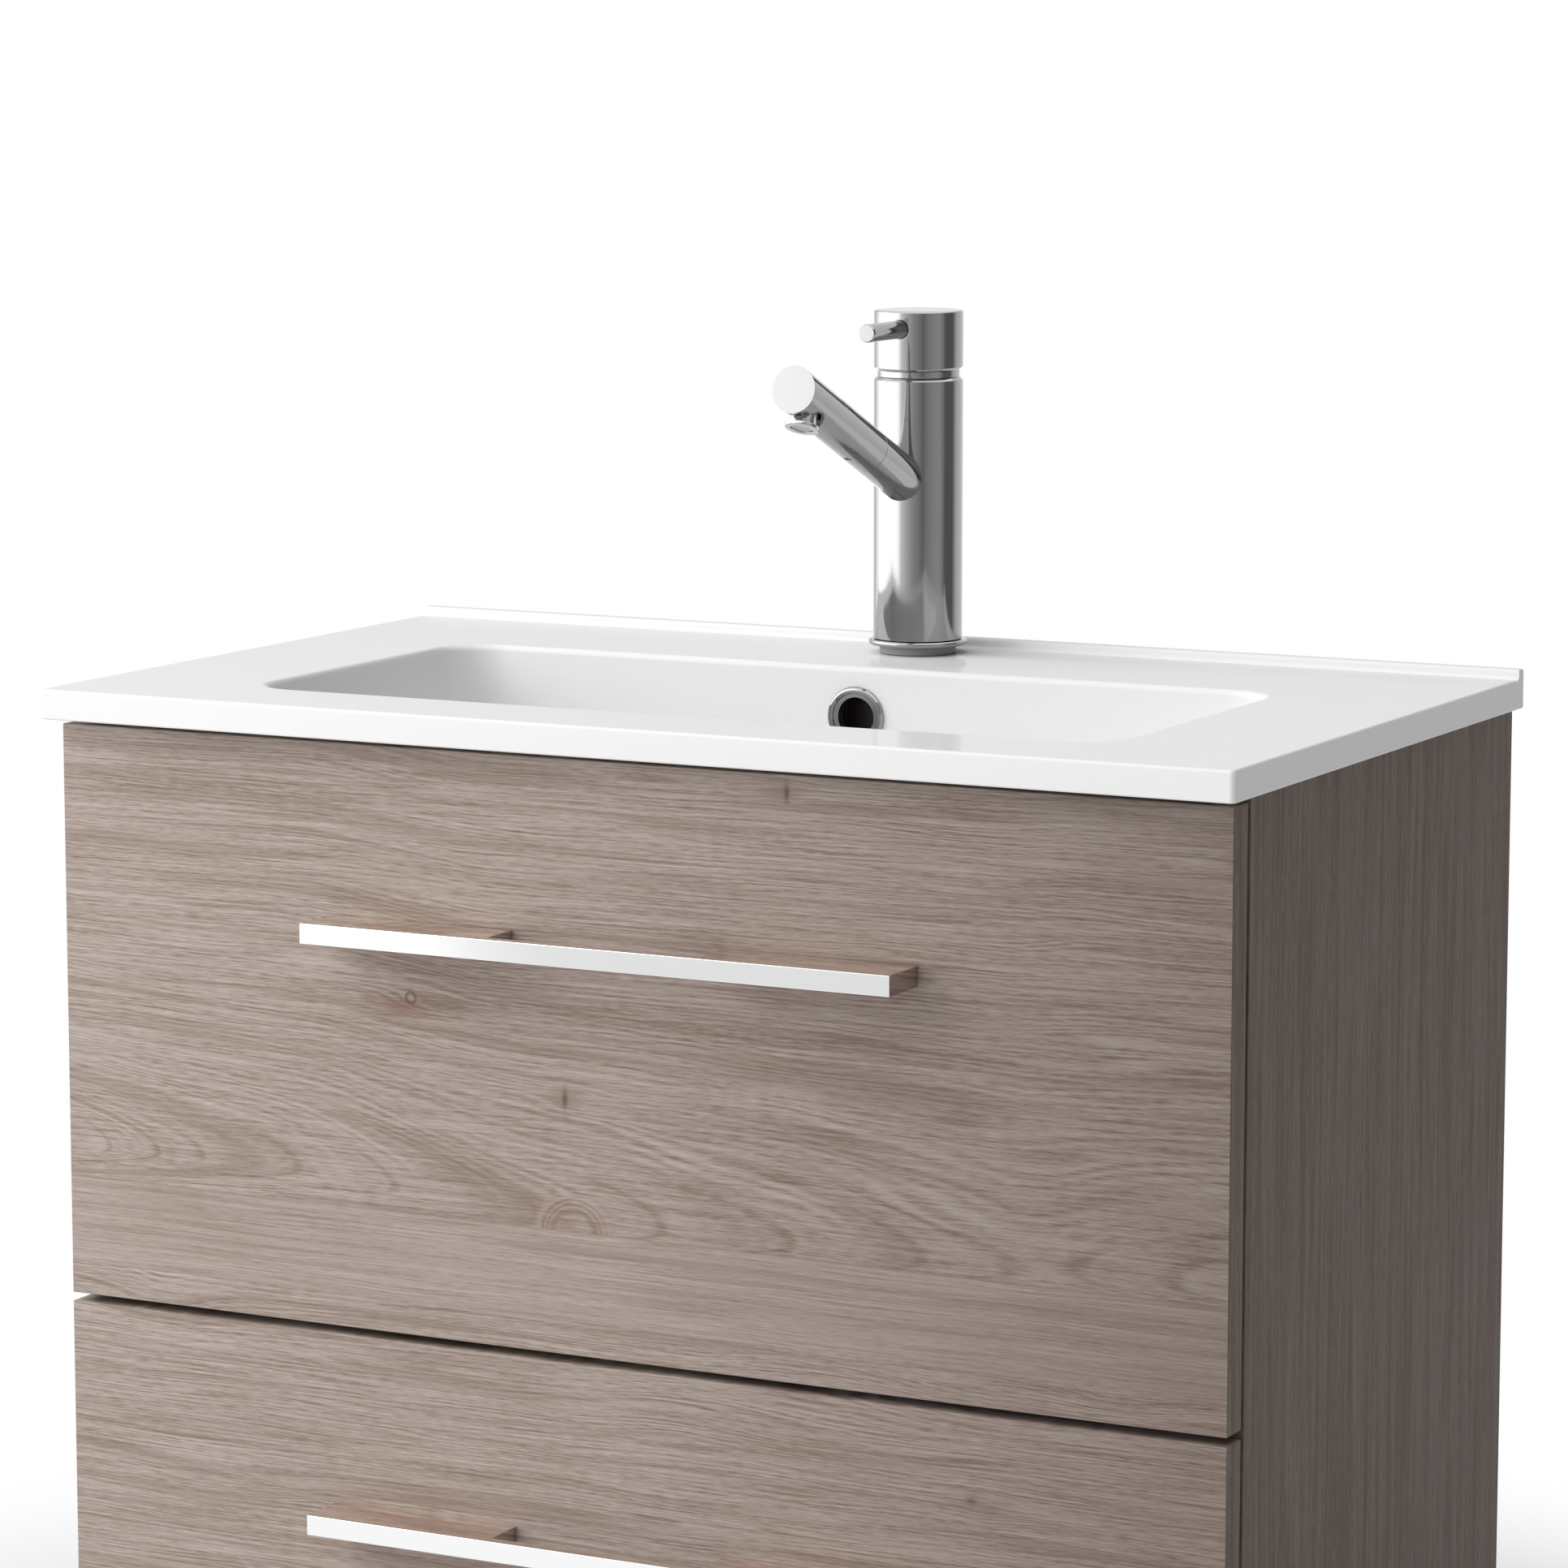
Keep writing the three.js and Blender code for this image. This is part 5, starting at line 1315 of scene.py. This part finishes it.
# Stage: floor, cards that the gloss reflects, lamp and world
def light_graph(owner, kind):
    """The emptied node tree of a material or world, and the socket for its surface."""
    owner.use_nodes = True
    g = Graph(owner.node_tree)
    g.tree.nodes.clear()
    return g, g.tree.nodes.new("ShaderNodeOutput" + kind).inputs["Surface"]


def plain_rays(g):
    """1 for glossy rays; then 1 for all rays that aren't diffuse."""
    seen, shiny, through = [
        g.node("LightPath", {}, "Is " + kind + " Ray") for kind in ("Camera", "Glossy", "Transmission")
    ]
    return shiny, g.math("MAXIMUM", seen, g.math("MAXIMUM", shiny, through))


def floor_material():
    """Pale floor that keeps the shadow near the object and is plain white further out."""
    material = bpy.data.materials.new("floor")
    g, surface = light_graph(material, "Material")
    x, y, z = g.split(g.node("NewGeometry", {}, "Position"))
    far = g.smooth(g.math("SQRT", g.squares(x, y)), 0.42, 0.85)
    plain = g.node("BsdfDiffuse", {"Color": grey(0.82)}, 0)
    white = g.node("Emission", {"Color": grey(1.0), "Strength": 1.0}, 0)
    share = g.mul(far, plain_rays(g)[1])
    g.put(surface, g.node("MixShader", {0: share, 1: plain, 2: white}, 0))
    return material


# What the chrome sees round about: light against the angle from the camera's side, to the right
CARD_PEAK = 3.0
CARD_STOPS = (
    (-180, 0.9), (-165, 0.87), (-150, 1.0), (-120, 3.0), (-90, 2.8), (-67, 2.85), (-57, 2.6),
    (-48, 1.36), (-38.7, 1.07), (-30, 0.85), (-21, 0.67), (-12.7, 0.53), (-4, 0.46), (4, 0.377),
    (12.7, 0.26), (21, 0.385), (38.7, 0.503), (57, 0.57), (67, 0.433), (76, 0.19), (101, 0.19),
    (116, 0.83), (134, 0.95), (168, 1.03), (180, 0.95),
)
# The same for the cards' lowest 0.2 m, which faces that look down a little see
LOW_STOPS = (
    (-180, 2.2), (-64, 2.2), (-60, 1.12), (-57.2, 1.12), (-55.7, 0.81), (-30, 0.74), (0, 0.62),
    (60, 0.6), (180, 1.1),
)


def card_material():
    """The studio that the chrome reflects: white softbox to the left, dark room to the right."""
    material = bpy.data.materials.new("cards")
    g, surface = light_graph(material, "Material")
    x, y, z = g.split(g.node("NewGeometry", {}, "Position"))
    ahead = g.add(g.mul(x, 0.457), g.mul(y, -0.889))
    right = g.add(g.mul(x, 0.889), g.mul(y, 0.457))
    share = g.span(g.math("ARCTAN2", right, ahead), -math.pi, math.pi)
    around, low = [
        g.ramp(share, [((turn + 180) / 360, grey(level / CARD_PEAK)) for turn, level in stops])
        for stops in (CARD_STOPS, LOW_STOPS)
    ]
    level = g.mix(g.smooth(z, 0.2, 0.32), low, around)
    level = g.mix(g.smooth(z, 2.15, 2.45), level, grey(1.6 / CARD_PEAK))
    g.put(surface, g.node("Emission", {"Color": level, "Strength": CARD_PEAK}, 0))
    return material


def add_stage():
    size, steps, radius, low, high = 30000, 96, 2100, 2, 2500
    square = [(-size, -size, 0), (size, -size, 0), (size, size, 0), (-size, size, 0)]
    floor = bpy.data.objects.new("floor", mesh_of(square, [(0, 1, 2, 3)]))
    floor.data.materials.append(floor_material())
    turns = round_turns(steps)
    drum = [(radius * math.cos(t), radius * math.sin(t), z) for z in (low, high) for t in turns]
    faces = []
    for i in range(steps):
        k = (i + 1) % steps
        faces.append((i, k, k + steps, i + steps))
    cards = bpy.data.objects.new("cards", mesh_of(drum, faces))
    cards.data.materials.append(card_material())
    for o in (floor, cards):
        COLLECTION.objects.link(o)
    cards.visible_camera = cards.visible_diffuse = cards.visible_shadow = False
    cards.visible_transmission = cards.visible_volume_scatter = False
    add_lamp()
    add_world()


def add_lamp():
    """A broad, weak softbox in front on the left, which makes the fronts fall off to the right."""
    key = bpy.data.lights.new("key", "AREA")
    key.shape, key.size, key.size_y = "RECTANGLE", 1.6, 1.4
    key.energy = 13
    lamp = bpy.data.objects.new("key", key)
    COLLECTION.objects.link(lamp)
    aim, away = Vector((-0.1, -0.05, 0.5)), 1.7
    towards = Vector((-0.62, -0.62, 0.48)).normalized()
    lamp.location = aim + towards * away
    lamp.rotation_euler = towards.to_track_quat("Z", "Y").to_euler()
    lamp.visible_glossy = False


def add_world():
    """White to look at; for diffuse light a soft sky, brightest in front on the left."""
    world = bpy.data.worlds.new("studio")
    bpy.context.scene.world = world
    g, surface = light_graph(world, "World")
    turn, rise = math.radians(-43), math.radians(48.5)
    brightest = (math.cos(rise) * math.sin(turn), -math.cos(rise) * math.cos(turn), math.sin(rise))
    facing = g.node("TexCoord", {}, "Generated")
    lobe = g.node("VectorMath", {0: facing, 1: brightest}, "Value", operation="DOT_PRODUCT")
    lobe = g.math("MAXIMUM", lobe, 0.0)
    sky = g.add(g.mul(lobe, lobe, 1.525), 0.152)
    shiny, plain = plain_rays(g)
    strength = g.add(plain, g.mul(shiny, 0.6), g.mul(g.rest(plain), sky))
    g.put(surface, g.node("Background", {"Color": grey(1.0), "Strength": strength}, 0))


add_camera()
add_cabinet()
add_drawer("upper")
add_drawer("lower")
add_basin()
add_overflow_ring()
add_waste()
add_mixer()
add_stage()
bpy.context.scene.view_settings.view_transform = "Standard"
